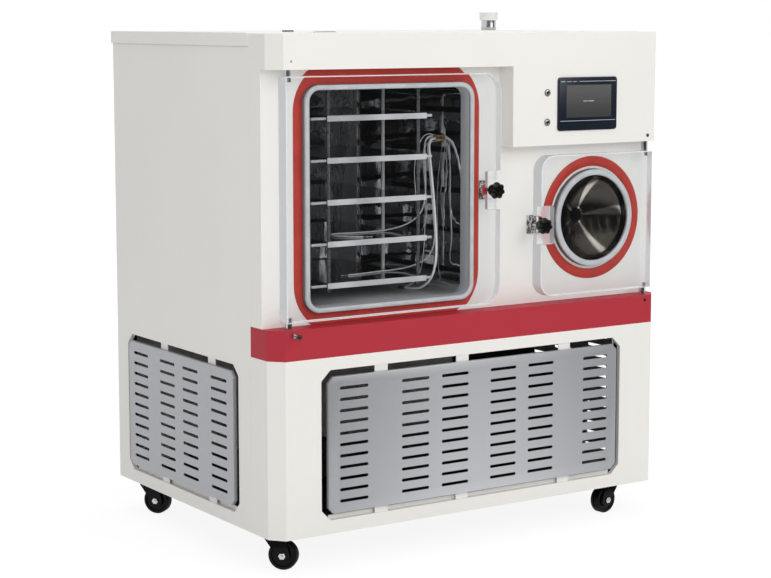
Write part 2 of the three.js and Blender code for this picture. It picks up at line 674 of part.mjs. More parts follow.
function makeChassis() {
  const left = SHEET + SEAT_GAP;
  const right = WIDTH - left;
  const front = CHAMFER_BACK + RAIL / 10;
  const rear = DEPTH - SHEET - SEAT_GAP;
  const floor = BODY_HEIGHT - SHEET - SEAT_GAP;
  const rails = [
    block(left, right, front, front + 2 * RAIL, floor - BASE_RAIL, floor),
    block(left, right, rear - 3 * RAIL, rear, floor - BASE_RAIL, floor),
    block(RAIL / 2 + left, RAIL / 2 + left + 2 * RAIL, front, rear, floor - BASE_RAIL, floor),
    block(CASTERS.front_right.across - RAIL, CASTERS.front_right.across + RAIL, front, rear,
      floor - BASE_RAIL, floor),
  ];
  const top = LID_RIM - LID_RISE + SEAT_GAP;
  const pan = block(left, right, front, rear, floor - PAN_THICKNESS, floor);
  const postFront = COVER_DEPTH + SEAT_GAP;
  const posts = [OPENING_RIM + left, right - OPENING_RIM - POST].flatMap((x) => [
    block(x, x + POST, postFront, postFront + POST, top, floor - 1),
    block(x, x + POST, rear - POST, rear, top, floor - 1),
  ]);
  const topRails = [
    block(OPENING_RIM + left, right - OPENING_RIM, postFront, postFront + POST, top, top + POST),
    block(OPENING_RIM + left, right - OPENING_RIM, rear - POST, rear, top, top + POST),
  ];
  const plates = Object.values(CASTERS).map((caster) => block(
    caster.across - CASTER_PLATE / 2,
    caster.across + CASTER_PLATE / 2,
    caster.back - CASTER_PLATE / 2,
    caster.back + CASTER_PLATE / 2,
    BODY_HEIGHT - SHEET - SEAT_GAP - 1,
    BODY_HEIGHT + CASTER_PLATE_THICKNESS,
  ));
  return join(pan, ...rails, ...posts, ...topRails, ...plates);
}

// a deck across the posts, with rails under the chamber and a saddle under the pot
function makeDeck() {
  const postEdge = SHEET + 2 * SEAT_GAP + OPENING_RIM + POST;
  const front = RECESS + SHEET + SEAT_GAP;
  const rear = DEPTH - SHEET - 2 * SEAT_GAP - POST;
  const plate = block(postEdge, WIDTH - postEdge, front, rear, DECK_DOWN, DECK_DOWN + DECK_THICKNESS);
  const chamberFloor = CHAMBER_TOP + CHAMBER_HEIGHT + CHAMBER_WALL + SEAT_GAP;
  const railFront = COVER_DEPTH + SEAT_GAP;
  const railRear = LIP_FRONT + CHAMBER_DEPTH;
  const rails = [-1, 1].map((side) => {
    const middle = CHAMBER_CENTRE + side * CHAMBER_WIDTH / 3;
    return block(middle - RAIL / 2, middle + RAIL / 2, railFront, railRear,
      chamberFloor, DECK_DOWN + 1);
  });
  const saddle = block(POT_CENTRE - POT_OUTER / 2, POT_CENTRE + POT_OUTER / 2, railFront, POT_REAR,
    POT_MIDDLE + POT_OUTER * 0.7, DECK_DOWN + 1);
  const bed = rod('y', POT_OUTER + SEAT_GAP, DEPTH * 2,
    [across(POT_CENTRE), back(0), down(POT_MIDDLE)], FINE);
  return join(plate, ...rails, cut(saddle, bed));
}

// ---------------------------------------------------------------- shelf chamber

function chamberOutline(outset) {
  return roundedRectangle(
    across(CHAMBER_CENTRE),
    down(CHAMBER_MIDDLE),
    CHAMBER_WIDTH + 2 * outset,
    CHAMBER_HEIGHT + 2 * outset,
    CHAMBER_CORNER + outset,
  );
}

function makeChamberShell() {
  const near = back(LIP_FRONT);
  const far = near + CHAMBER_DEPTH + CHAMBER_WALL;
  const outer = carryBack(chamberOutline(CHAMBER_WALL), near, far);
  const inner = carryBack(chamberOutline(0), near - 1, near + CHAMBER_DEPTH);
  return cut(outer, inner);
}

function makeChamberSeal() {
  const near = back(DOOR_REAR + SEAT_GAP);
  const far = back(LIP_FRONT);
  const outer = carryBack(chamberOutline(CHAMBER_WALL - 1), near, far);
  return cut(outer, carryBack(chamberOutline(1), near - 1, far + 1));
}

// flat red surround on the panel; the fascia and the band cut its top and bottom off
function makeChamberTrim() {
  const near = back(RECESS - TRIM_THICKNESS);
  const far = back(RECESS);
  const reach = CHAMBER_WALL + TRIM_REVEAL;
  const full = roundedRectangle(
    across(CHAMBER_CENTRE),
    down((FASCIA_HEIGHT + BAND_TOP) / 2),
    CHAMBER_WIDTH + 2 * reach,
    BAND_TOP - FASCIA_HEIGHT + 2 * TRIM_OVERRUN,
    TRIM_CORNER,
  );
  const sheet = carryBack(full, near, far);
  const visible = block(0, WIDTH, 0, RECESS, FASCIA_HEIGHT + SEAT_GAP, BAND_TOP - SEAT_GAP);
  const lip = carryBack(chamberOutline(CHAMBER_WALL + SEAT_GAP), near - 1, far + 1);
  const notch = bracketPlate(MAIN_LATCH, SEAT_GAP);
  return cut(sheet.intersect(visible), lip, notch);
}

function rodPlaces() {
  const left = CHAMBER_CENTRE - SHELF_WIDTH / 2 + ROD_INSET_ACROSS;
  const right = CHAMBER_CENTRE + SHELF_WIDTH / 2 - ROD_INSET_ACROSS;
  const [near, far] = ROD_BACKS;
  return {
    front_left: [left, near],
    front_right: [right, near],
    back_left: [left, far],
    back_right: [right, far],
  };
}

function makeShelf(index) {
  const level = SHELF_FIRST + index * SHELF_PITCH;
  const left = CHAMBER_CENTRE - SHELF_WIDTH / 2;
  const right = CHAMBER_CENTRE + SHELF_WIDTH / 2;
  const plate = block(left, right, SHELF_FRONT, SHELF_FRONT + SHELF_DEPTH,
    level - SHELF_THICKNESS / 2, level + SHELF_THICKNESS / 2);
  const pinBack = SHELF_FRONT + SHELF_THICKNESS / 2;
  const pins = [
    [left - SHELF_PIN_LEFT, left + 1],
    [right - 1, right + SHELF_PIN_RIGHT],
  ].map(([near, far]) => rod('x', SHELF_PIN_RADIUS, far - near,
    [across((near + far) / 2), back(pinBack), down(level)], TINY));
  const holes = Object.values(rodPlaces()).map(([x, y]) => rod('z', ROD_RADIUS + ROD_CLEARANCE,
    SHELF_THICKNESS * 2, [across(x), back(y), down(level)], SMALL));
  return cut(join(plate, ...pins), ...holes);
}

// a rod hangs from the chamber's roof and ends in a nut plate under the lowest shelf
function makeShelfRod([x, y]) {
  const top = CHAMBER_TOP + SEAT_GAP;
  const lowest = SHELF_FIRST + (SHELF_COUNT - 1) * SHELF_PITCH + SHELF_THICKNESS / 2;
  const end = lowest + ROD_RADIUS * 2;
  const shaft = rod('z', ROD_RADIUS, end - top, [across(x), back(y), down((top + end) / 2)], SMALL);
  const nut = rod('z', ROD_RADIUS * 1.8, ROD_RADIUS, [across(x), back(y),
    down(lowest + SEAT_GAP + ROD_RADIUS / 2)], 6);
  const flange = rod('z', ROD_RADIUS * 2.2, ROD_RADIUS,
    [across(x), back(y), down(top + ROD_RADIUS / 2)], SMALL);
  return join(shaft, nut, flange);
}

// ---------------------------------------------------------------- condenser pot

// a short drum with a dished floor; the vapour port is a pipe through its middle
function makePot() {
  const half = Math.asin(POT_BORE / 2 / DISH_RADIUS);
  const profile = [new THREE.Vector2(0, LIP_FRONT - 1), new THREE.Vector2(POT_BORE / 2, LIP_FRONT - 1)];
  for (let step = 0; step < ARC_STEPS * 2; step += 1) {
    const angle = half * (1 - step / (ARC_STEPS * 2));
    const sag = DISH_RADIUS * (1 - Math.cos(angle));
    profile.push(new THREE.Vector2(DISH_RADIUS * Math.sin(angle), LIP_FRONT + POT_DEPTH - sag));
  }
  profile.push(new THREE.Vector2(0, LIP_FRONT + POT_DEPTH));
  const bowl = new THREE.LatheGeometry(profile, FINE, Math.PI / FINE);
  const place = (from, to) => [across(POT_CENTRE), back((from + to) / 2), down(POT_MIDDLE)];
  const hollow = toSolid(bowl).translate([across(POT_CENTRE), back(0), down(POT_MIDDLE)]);
  const drum = rod('y', POT_OUTER, POT_REAR - LIP_FRONT, place(LIP_FRONT, POT_REAR), FINE);
  const pipeEnd = POT_REAR + PORT_REACH;
  const pipeLength = PORT_REACH + 1;
  const pipe = rod('y', PORT_RADIUS + PORT_WALL, pipeLength, place(POT_REAR - 1, pipeEnd), SMALL);
  const port = rod('y', PORT_RADIUS, pipeEnd - LIP_FRONT, place(LIP_FRONT + 1, pipeEnd + 1), SMALL);
  return cut(join(drum, pipe), hollow, port);
}

function ring(outerRadius, innerRadius, near, far) {
  const place = [across(POT_CENTRE), back((near + far) / 2), down(POT_MIDDLE)];
  const outer = rod('y', outerRadius, far - near, place, FINE);
  return cut(outer, rod('y', innerRadius, far - near + 2, place, FINE));
}

function makePotSeal() {
  return ring(POT_OUTER - 1, POT_BORE / 2 + 1, DOOR_REAR + SEAT_GAP, LIP_FRONT);
}

function makePotTrim() {
  return ring(POT_TRIM_INNER + POT_TRIM_WIDTH, POT_TRIM_INNER, RECESS - TRIM_THICKNESS, RECESS);
}

// ---------------------------------------------------------------- clear doors

function doorOutline(door, hingeLeft) {
  return roundedRectangle(
    across((door.left + door.right) / 2),
    down((door.top + door.bottom) / 2),
    door.right - door.left,
    door.bottom - door.top,
    hingeLeft ? 0 : door.corner,
    hingeLeft ? door.corner : 0,
  );
}

function pivotAcross(door, hingeLeft) {
  return hingeLeft ? door.left + PIVOT_INSET : door.right - PIVOT_INSET;
}

// milled pocket at the free edge, with a slot through it that lets the knob pass
function makeDoor(door, latch) {
  const hingeLeft = latch.side > 0;
  const slab = carryBack(doorOutline(door, hingeLeft), back(DOOR_FRONT), back(DOOR_REAR));
  const edge = hingeLeft ? door.right : door.left;
  const inside = edge - latch.side * POCKET_WIDTH;
  const outside = edge + latch.side;
  const pocket = block(Math.min(inside, outside), Math.max(inside, outside), DOOR_FRONT - 1,
    DOOR_FRONT + POCKET_DEPTH, latch.down - POCKET_HEIGHT / 2, latch.down + POCKET_HEIGHT / 2);
  const passage = KNOB_RADIUS + KNOB_PASSAGE;
  const slotEnd = rod('y', passage, DOOR_THICKNESS * 3,
    [across(latch.across), back(DOOR_FRONT), down(latch.down)]);
  const slotRun = block(Math.min(latch.across, outside), Math.max(latch.across, outside), DOOR_FRONT - 1,
    DOOR_REAR + 1, latch.down - passage, latch.down + passage);
  const pivotX = across(pivotAcross(door, hingeLeft));
  const pivotY = back(DOOR_FRONT + DOOR_THICKNESS / 2);
  const bores = [door.top, door.bottom].map((edgeDown) => rod('z', PIVOT_RADIUS + PIVOT_CLEARANCE,
    (PIVOT_DEPTH + PIVOT_CLEARANCE) * 2, [pivotX, pivotY, down(edgeDown)], SMALL));
  return cut(slab, pocket, slotEnd, slotRun, ...bores);
}

// pins run from the cover above, or the band or box below, into the door's bores
function makePivotPin(door, latch, from, into) {
  const x = across(pivotAcross(door, latch.side > 0));
  const y = back(DOOR_FRONT + DOOR_THICKNESS / 2);
  const tip = into + Math.sign(into - from) * PIVOT_DEPTH;
  const shaft = rod('z', PIVOT_RADIUS, Math.abs(tip - from), [x, y, down((from + tip) / 2)], SMALL);
  const collarLength = Math.abs(into - from) - 1;
  const collarMiddle = from + Math.sign(into - from) * collarLength / 2;
  const collar = rod('z', PIVOT_RADIUS * 1.5, collarLength, [x, y, down(collarMiddle)], SMALL);
  return join(shaft, collar);
}

// ---------------------------------------------------------------- latches

// the bracket's foot on the panel, or the clearance round it
function bracketPlate(latch, clearance = 0) {
  const far = latch.across + latch.side * (LATCH_BRACKET_WIDTH - BOLT_FROM_PLATE_EDGE);
  const near = latch.across - latch.side * BOLT_FROM_PLATE_EDGE;
  const half = LATCH_BRACKET_HEIGHT / 2 + clearance;
  return block(Math.min(near, far) - clearance, Math.max(near, far) + clearance, RECESS - LATCH_PLATE,
    RECESS + Math.sign(clearance), latch.down - half, latch.down + half);
}

function makeLatchBracket(latch) {
  const plate = bracketPlate(latch);
  const ears = [-1, 1].map((side) => {
    const inner = latch.down + side * (LATCH_EYE_HEIGHT / 2 + BOLT_CLEARANCE);
    const outer = inner + side * LATCH_EAR;
    return block(latch.across - LATCH_EYE_RADIUS, latch.across + LATCH_EYE_RADIUS,
      LATCH_PIVOT_BACK - LATCH_EYE_RADIUS / 2, RECESS - 1, Math.min(inner, outer), Math.max(inner, outer));
  });
  const pinLength = LATCH_EYE_HEIGHT + 2 * (LATCH_EAR + LATCH_PIN_RADIUS);
  const pin = rod('z', LATCH_PIN_RADIUS, pinLength,
    [across(latch.across), back(LATCH_PIVOT_BACK), down(latch.down)], SMALL);
  return join(plate, ...ears, pin);
}

function makeSwingBolt(latch) {
  const x = across(latch.across);
  const z = down(latch.down);
  const tip = DOOR_FRONT - KNOB_PROUD + KNOB_THICKNESS / 2;
  const shaft = rod('y', BOLT_RADIUS, LATCH_PIVOT_BACK - tip,
    [x, back((tip + LATCH_PIVOT_BACK) / 2), z], SMALL);
  const eye = rod('z', LATCH_EYE_RADIUS, LATCH_EYE_HEIGHT, [x, back(LATCH_PIVOT_BACK), z], ROUND);
  const hole = rod('z', LATCH_PIN_RADIUS + BOLT_CLEARANCE, LATCH_EYE_HEIGHT * 2,
    [x, back(LATCH_PIVOT_BACK), z], SMALL);
  return cut(join(shaft, eye), hole);
}

function starOutline(x, z) {
  const points = [];
  const steps = KNOB_LOBES * 6;
  const wave = KNOB_RADIUS * 0.08;
  for (let step = 0; step < steps; step += 1) {
    const angle = (step / steps) * Math.PI * 2;
    const radius = KNOB_RADIUS - wave + wave * Math.cos(angle * KNOB_LOBES);
    points.push([x + radius * Math.sin(angle), z + radius * Math.cos(angle)]);
  }
  return polygon(points);
}

function makeStarKnob(latch) {
  const x = across(latch.across);
  const z = down(latch.down);
  const near = DOOR_FRONT - KNOB_PROUD;
  const far = near + KNOB_THICKNESS;
  const star = carryBack(starOutline(x, z), back(near), back(far));
  const hub = rod('y', KNOB_HUB_RADIUS, KNOB_HUB_LENGTH + 1, [x, back(far + (KNOB_HUB_LENGTH - 1) / 2), z]);
  const boreEnd = near + KNOB_THICKNESS / 2 - BOLT_CLEARANCE;
  const boreStart = far + KNOB_HUB_LENGTH + 1;
  const bore = rod('y', BOLT_RADIUS + BOLT_CLEARANCE, boreStart - boreEnd,
    [x, back((boreEnd + boreStart) / 2), z], SMALL);
  return cut(join(star, hub), bore);
}

// ---------------------------------------------------------------- controls

function makeScreen() {
  const wide = SCREEN.right - SCREEN.left;
  const high = SCREEN.bottom - SCREEN.top;
  const x = (SCREEN.left + SCREEN.right) / 2;
  const z = (SCREEN.top + SCREEN.bottom) / 2;
  const bezel = carryBack(roundedRectangle(across(x), down(z), wide, high, SCREEN_CORNER),
    back(-SCREEN_PROUD), back(0));
  const inset = SCREEN_MARGIN + SEAT_GAP;
  const housing = block(SCREEN.left + inset, SCREEN.right - inset, -1, SCREEN_BACK,
    SCREEN.top + inset, SCREEN.bottom - inset);
  return join(bezel, housing);
}

function makeButton(place) {
  const far = BUTTON_LENGTH - BUTTON_PROUD;
  return rod('y', BUTTON_RADIUS, BUTTON_LENGTH,
    [across(BUTTON_ACROSS), back((far - BUTTON_PROUD) / 2), down(place)]);
}

// ---------------------------------------------------------------- vent, peg and cooling plant

function makeVentTube() {
  const length = VENT_HEIGHT + VENT_DROP;
  const middle = [across(VENT_ACROSS), back(VENT_BACK), down(-LID_RISE) + VENT_HEIGHT - length / 2];
  return cut(rod('z', VENT_RADIUS, length, middle), rod('z', VENT_BORE, length + 2, middle));
}

function makeVentCap() {
  const base = down(-LID_RISE) + VENT_HEIGHT;
  const middle = [across(VENT_ACROSS), back(VENT_BACK), base + VENT_CAP_HEIGHT / 2];
  const top = rod('z', VENT_CAP_RADIUS, VENT_CAP_HEIGHT, middle);
  const spigotLength = VENT_CAP_HEIGHT / 2;
  const spigot = rod('z', VENT_BORE - BOLT_CLEARANCE, spigotLength + 1,
    [middle[0], middle[1], base - spigotLength / 2 + 0.5]);
  return join(top, spigot);
}

function makeLockPeg() {
  const x = across(PEG_ACROSS);
  const z = down(PEG_DOWN);
  const length = PEG_REACH - PEG_HEAD_RADIUS;
  const shaft = rod('y', PEG_RADIUS, length, [x, back(-length / 2), z], SMALL);
  const ball = new THREE.SphereGeometry(PEG_HEAD_RADIUS, SMALL, SMALL / 2);
  ball.rotateX(Math.PI / 2);
  ball.translate(x, back(PEG_HEAD_RADIUS - PEG_REACH), z);
  return join(shaft, toSolid(ball));
}


// sealed compressor pot on its foot plate, across the bottom rails
function makeCompressor() {
  const profile = [
    [0, 0],
    [COMPRESSOR_RADIUS, 0],
    [COMPRESSOR_RADIUS, COMPRESSOR_HEIGHT * 0.85],
    [COMPRESSOR_RADIUS * 0.7, COMPRESSOR_HEIGHT],
    [0, COMPRESSOR_HEIGHT],
  ].map(([r, h]) => new THREE.Vector2(r, h));
  const dome = new THREE.LatheGeometry(profile, ROUND);
  dome.rotateX(Math.PI / 2);
  dome.translate(across(COMPRESSOR_ACROSS), back(COMPRESSOR_BACK), down(PLANT_FLOOR - SHEET));
  const foot = block(RAIL, WIDTH / 2, COMPRESSOR_BACK - COMPRESSOR_RADIUS - FOOT_MARGIN, DEPTH - RAIL,
    PLANT_FLOOR - 2 * SHEET, PLANT_FLOOR);
  return join(toSolid(dome), foot);
}

// finned coil behind the front slots, standing on the rails
function makeCoolingCoil() {
  const front = COVER_DEPTH + POST + RAIL;
  const left = WIDTH / 2 + RAIL;
  const coil = block(left, WIDTH - 3 * RAIL, front, front + 2 * RAIL, PLANT_FLOOR - COIL_HEIGHT,
    PLANT_FLOOR - 1);
  const foot = block(left, WIDTH - 2 * RAIL, COVER_DEPTH, DEPTH - RAIL,
    PLANT_FLOOR - 2 * SHEET, PLANT_FLOOR);
  return join(coil, foot);
}

// ---------------------------------------------------------------- casters

function casterFrame(caster) {
  return new THREE.Matrix4()
    .makeTranslation(across(caster.across), back(caster.back), 0)
    .multiply(new THREE.Matrix4().makeRotationZ(THREE.MathUtils.degToRad(caster.turn)));
}

// in the caster's own frame the wheel trails along +x or -x and its axle lies along y
function casterTrail(caster) {
  return caster.turn < 0 ? WHEEL_TRAIL : -WHEEL_TRAIL;
}

function casterFork(caster) {
  const trail = casterTrail(caster);
  const headTop = CASTER_HEIGHT - CASTER_PLATE_THICKNESS - SEAT_GAP;
  const headLow = headTop - HEAD_HEIGHT;
  const head = rod('z', HEAD_RADIUS, HEAD_HEIGHT, [0, 0, headTop - HEAD_HEIGHT / 2]);
  const legInner = WHEEL_WIDTH / 2 + FORK_GAP;
  const outline = polygon([
    [-HEAD_RADIUS * 0.8, headLow + 1],
    [trail - NUT_RADIUS, WHEEL_RADIUS - NUT_RADIUS],
    [trail + NUT_RADIUS, WHEEL_RADIUS - NUT_RADIUS],
    [HEAD_RADIUS * 0.8, headLow + 1],
  ]);
  const legs = [-1, 1].map((side) => {
    const near = side > 0 ? legInner : -legInner - FORK_LEG;
    return carryBack(outline, near, near + FORK_LEG);
  });
  const bolt = rod('y', AXLE_RADIUS, 2 * (legInner + FORK_LEG), [trail, 0, WHEEL_RADIUS], SMALL);
  const nuts = [-1, 1].map((side) => rod('y', NUT_RADIUS, NUT_LENGTH,
    [trail, side * (legInner + FORK_LEG + NUT_LENGTH / 2 - 1), WHEEL_RADIUS], 6));
  return join(head, ...legs, bolt, ...nuts).transform(casterFrame(caster).elements);
}

function casterWheel(caster) {
  const trail = casterTrail(caster);
  const facetRadius = WHEEL_RADIUS / Math.cos(Math.PI / FINE);
  const tyre = rod('y', facetRadius, WHEEL_WIDTH, [trail, 0, WHEEL_RADIUS], FINE);
  const bore = rod('y', AXLE_RADIUS + AXLE_CLEARANCE, WHEEL_WIDTH * 2, [trail, 0, WHEEL_RADIUS], SMALL);
  return cut(tyre, bore).transform(casterFrame(caster).elements);
}

// ---------------------------------------------------------------- probe leads

// cable gland in the chamber's right wall
function makeGland() {
  const wallAcross = CHAMBER_CENTRE + CHAMBER_WIDTH / 2;
  const nose = wallAcross - SEAT_GAP - GLAND_REACH;
  const x = across((nose + wallAcross - SEAT_GAP) / 2);
  return rod('x', GLAND_RADIUS, GLAND_REACH, [x, back(GLAND_BACK), down(GLAND_DOWN)], SMALL);
}

// routes from the gland: across, back, down
const LEAD_ROUTES = {
  upper_probe_lead: {
    radius: LEAD_RADIUS,
    steps: 64,
    points: [
      [623.8, 201, 288], [610, 202, 290], [600, 202, 304], [598, 201, 340], [599, 199, 400],
      [598, 198, 445], [594, 200, 478], [583, 206, 506], [561, 224, 530], [532, 244, 544],
      [500, 254, 550], [464, 252, 551.2], [420, 250, 551.2], [375, 253, 551.2], [340, 257, 551.2],
      [316, 246, 551.2], [308, 222, 551.2], [316, 192, 551.2], [336, 166, 551.2], [362, 149, 551.2],
    ],
  },
  lower_probe_lead: {
    radius: LEAD_RADIUS,
    steps: 64,
    points: [
      [623.8, 201, 298], [613, 200, 300], [606, 198, 315], [605, 193, 350], [606, 187, 400],
      [608, 180, 460], [610, 174, 520], [611, 171, 568], [608, 178, 604], [598, 193, 630],
      [577, 214, 648], [548, 231, 658], [518, 240, 662.2], [488, 242, 663.2], [455, 238, 663.2],
      [420, 229, 663.2], [385, 222, 663.2], [352, 220, 663.2],
    ],
  },
  braided_probe_lead: {
    radius: STRAND_RADIUS,
    steps: 40,
    points: [
      [623.8, 190.5, 294], [611, 189, 297], [601, 184, 311], [595, 172, 342], [590, 156, 395],
      [587, 142, 455], [586, 132, 520], [586, 129, 550], [586, 127, 580], [585, 128, 628], [581, 137, 668],
      [573, 153, 694], [563, 175, 709], [553, 200, 713.2], [546, 224, 713.2],
    ],
  },
};

function makeLead({ radius, steps, points }) {
  const path = new THREE.CatmullRomCurve3(
    points.map(([x, y, z]) => new THREE.Vector3(across(x), back(y), down(z))),
  );
  const section = new THREE.Shape();
  for (let side = 0; side < LEAD_SIDES; side += 1) {
    const angle = (side / LEAD_SIDES) * Math.PI * 2;
    const place = [radius * Math.cos(angle), radius * Math.sin(angle)];
    if (side === 0) {
      section.moveTo(...place);
    } else {
      section.lineTo(...place);
    }
  }
  return toSolid(new THREE.ExtrudeGeometry(section, { steps, extrudePath: path, bevelEnabled: false }));
}

// ---------------------------------------------------------------- assembly

addPart('chassis', makeChassis(), DARK_PAINT);
addPart('deck', makeDeck(), GREY_PAINT);
addPart('head_cover', makeHeadCover(), CREAM_PAINT);
addPart('recess_panel', makeRecessPanel(), CREAM_PAINT);
addPart('red_band', makeRedBand(), RED_PAINT);
addPart('lower_front_panel', makeLowerFrontPanel(), CREAM_PAINT);
addPart('left_side_panel', makeSidePanel(false), CREAM_PAINT);
addPart('right_side_panel', makeSidePanel(true), CREAM_PAINT);
addPart('back_panel', makeBackPanel(), CREAM_PAINT);
addPart('lid', makeLid(), CREAM_PAINT);
addPart('front_tray', makeFrontTray(), GREY_PAINT);
addPart('left_tray', makeSideTray(false), GREY_PAINT);
addPart('right_tray', makeSideTray(true), GREY_PAINT);

addPart('chamber_shell', makeChamberShell(), POLISHED);
addPart('chamber_seal', makeChamberSeal(), SEAL);
addPart('chamber_trim', makeChamberTrim(), RED_TRIM);
for (let index = 0; index < SHELF_COUNT; index += 1) {
  addPart(`shelf_${index + 1}`, makeShelf(index), ALUMINIUM);
}
for (const [place, spot] of Object.entries(rodPlaces())) {
  addPart(`shelf_rod_${place}`, makeShelfRod(spot), STEEL);
}
addPart('probe_gland', makeGland(), BRASS);
for (const [name, route] of Object.entries(LEAD_ROUTES)) {
  addPart(name, makeLead(route), CABLE);
}

addPart('condenser_pot', makePot(), POLISHED);
addPart('condenser_seal', makePotSeal(), SEAL);
addPart('condenser_trim', makePotTrim(), RED_TRIM);

addPart('main_door', makeDoor(MAIN_DOOR, MAIN_LATCH), ACRYLIC);
addPart('condenser_door', makeDoor(SMALL_DOOR, SMALL_LATCH), ACRYLIC);
addPart('main_pin_top', makePivotPin(MAIN_DOOR, MAIN_LATCH, FASCIA_HEIGHT, MAIN_DOOR.top), STEEL);
addPart('main_pin_bottom', makePivotPin(MAIN_DOOR, MAIN_LATCH, BAND_TOP, MAIN_DOOR.bottom), STEEL);
addPart('condenser_pin_top', makePivotPin(SMALL_DOOR, SMALL_LATCH, CONTROL_BOTTOM, SMALL_DOOR.top), STEEL);
addPart('condenser_pin_bottom', makePivotPin(SMALL_DOOR, SMALL_LATCH, BAND_TOP, SMALL_DOOR.bottom), STEEL);
for (const [side, latch] of Object.entries({ main: MAIN_LATCH, condenser: SMALL_LATCH })) {
  addPart(`${side}_latch_bracket`, makeLatchBracket(latch), STEEL);
  addPart(`${side}_swing_bolt`, makeSwingBolt(latch), STEEL);
  addPart(`${side}_star_knob`, makeStarKnob(latch), BLACK_PLASTIC);
}

addPart('touch_screen', makeScreen(), SCREEN_GLASS);
addPart('start_button', makeButton(BUTTON_DOWNS[0]), STEEL);
addPart('stop_button', makeButton(BUTTON_DOWNS[1]), STEEL);
addPart('vent_tube', makeVentTube(), STEEL);
addPart('vent_cap', makeVentCap(), WHITE_PLASTIC);
addPart('lock_peg', makeLockPeg(), STEEL);
addPart('compressor', makeCompressor(), DARK_PAINT);
addPart('cooling_coil', makeCoolingCoil(), ALUMINIUM);

for (const [place, caster] of Object.entries(CASTERS)) {
  addPart(`caster_fork_${place}`, casterFork(caster), DARK_PAINT);
  addPart(`caster_wheel_${place}`, casterWheel(caster), TYRE);
}

export default group;
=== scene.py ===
"""Pilot freeze dryer: finishes, clear doors, slotted trays and fittings on the packed frame.

Everything is in metres, +Z up, with the doors facing -Y. Sizes that the cabinet's maker would
quote are given in millimetres from its left side, its front face and its top.
"""

from __future__ import annotations

import json
import logging
import math
from dataclasses import dataclass, field
from enum import Enum
from typing import Any, Callable, Iterable, Sequence

import bmesh
import bpy
from mathutils import Matrix, Vector

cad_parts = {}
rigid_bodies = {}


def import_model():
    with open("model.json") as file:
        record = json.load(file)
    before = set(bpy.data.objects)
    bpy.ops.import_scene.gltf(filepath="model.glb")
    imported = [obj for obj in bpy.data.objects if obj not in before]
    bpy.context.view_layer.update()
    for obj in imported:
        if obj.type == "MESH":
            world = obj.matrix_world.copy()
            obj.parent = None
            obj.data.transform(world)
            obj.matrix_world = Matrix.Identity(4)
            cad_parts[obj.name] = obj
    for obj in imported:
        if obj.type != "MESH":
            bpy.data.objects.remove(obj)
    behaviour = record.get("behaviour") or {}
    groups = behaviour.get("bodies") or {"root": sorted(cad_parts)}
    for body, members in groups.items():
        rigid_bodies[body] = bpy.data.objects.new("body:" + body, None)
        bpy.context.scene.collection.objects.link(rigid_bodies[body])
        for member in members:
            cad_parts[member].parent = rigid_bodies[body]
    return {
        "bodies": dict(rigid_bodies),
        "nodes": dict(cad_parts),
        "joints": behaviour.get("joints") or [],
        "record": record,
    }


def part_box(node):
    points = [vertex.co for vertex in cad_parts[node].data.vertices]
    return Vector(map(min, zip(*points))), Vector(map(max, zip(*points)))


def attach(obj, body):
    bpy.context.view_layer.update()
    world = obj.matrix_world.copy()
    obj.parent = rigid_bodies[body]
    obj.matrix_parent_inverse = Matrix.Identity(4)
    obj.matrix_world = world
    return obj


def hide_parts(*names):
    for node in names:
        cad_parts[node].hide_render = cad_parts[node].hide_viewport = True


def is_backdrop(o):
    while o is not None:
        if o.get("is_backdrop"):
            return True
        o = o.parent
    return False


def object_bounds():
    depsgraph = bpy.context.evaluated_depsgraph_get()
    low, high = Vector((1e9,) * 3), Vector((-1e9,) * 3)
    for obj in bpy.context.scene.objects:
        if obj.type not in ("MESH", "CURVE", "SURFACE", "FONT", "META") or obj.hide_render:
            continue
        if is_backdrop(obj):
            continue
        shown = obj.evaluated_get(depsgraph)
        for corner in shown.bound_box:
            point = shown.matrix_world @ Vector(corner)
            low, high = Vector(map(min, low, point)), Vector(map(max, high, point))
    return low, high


log = logging.getLogger("freeze_dryer")

Colour = tuple[float, float, float, float]
Pair = tuple[float, float]
Triple = tuple[float, float, float]
MM = 0.001


def linear(red: int, green: int, blue: int) -> Colour:
    """Turn an sRGB colour of 0 to 255 into linear light.

    Args:
        red: The red channel.
        green: The green channel.
        blue: The blue channel.

    Returns:
        Linear red, green and blue, with an alpha of one.
    """

    def light(channel: int) -> float:
        """Undo the sRGB curve for one channel."""
        share = channel / 255
        return share / 12.92 if share <= 0.04045 else ((share + 0.055) / 1.055) ** 2.4

    return (light(red), light(green), light(blue), 1.0)


def shaded(colour: Colour, factor: float) -> Colour:
    """Return the colour made lighter or darker by a factor."""
    return (colour[0] * factor, colour[1] * factor, colour[2] * factor, 1.0)


# ------------------------------------------------------------------ shader graph


def maths(operation: str, about: str, swapped: bool = False) -> Callable[..., Value]:
    """Make a method of Value that adds one Math node and returns its output.

    Args:
        operation: The node's operation.
        about: The method's own description.
        swapped: Whether the value is the last operand and not the first.

    Returns:
        The method, whose other operands are values or numbers.
    """

    def method(value: Value, *others: Value | float) -> Value:
        """Work on the value and the other operands."""
        operands = (*others, value) if swapped else (value, *others)
        made = value.graph.node(
            "ShaderNodeMath", {"operation": operation}, dict(enumerate(operands))
        )
        return Value(value.graph, made.outputs[0])

    method.__doc__ = about
    return method


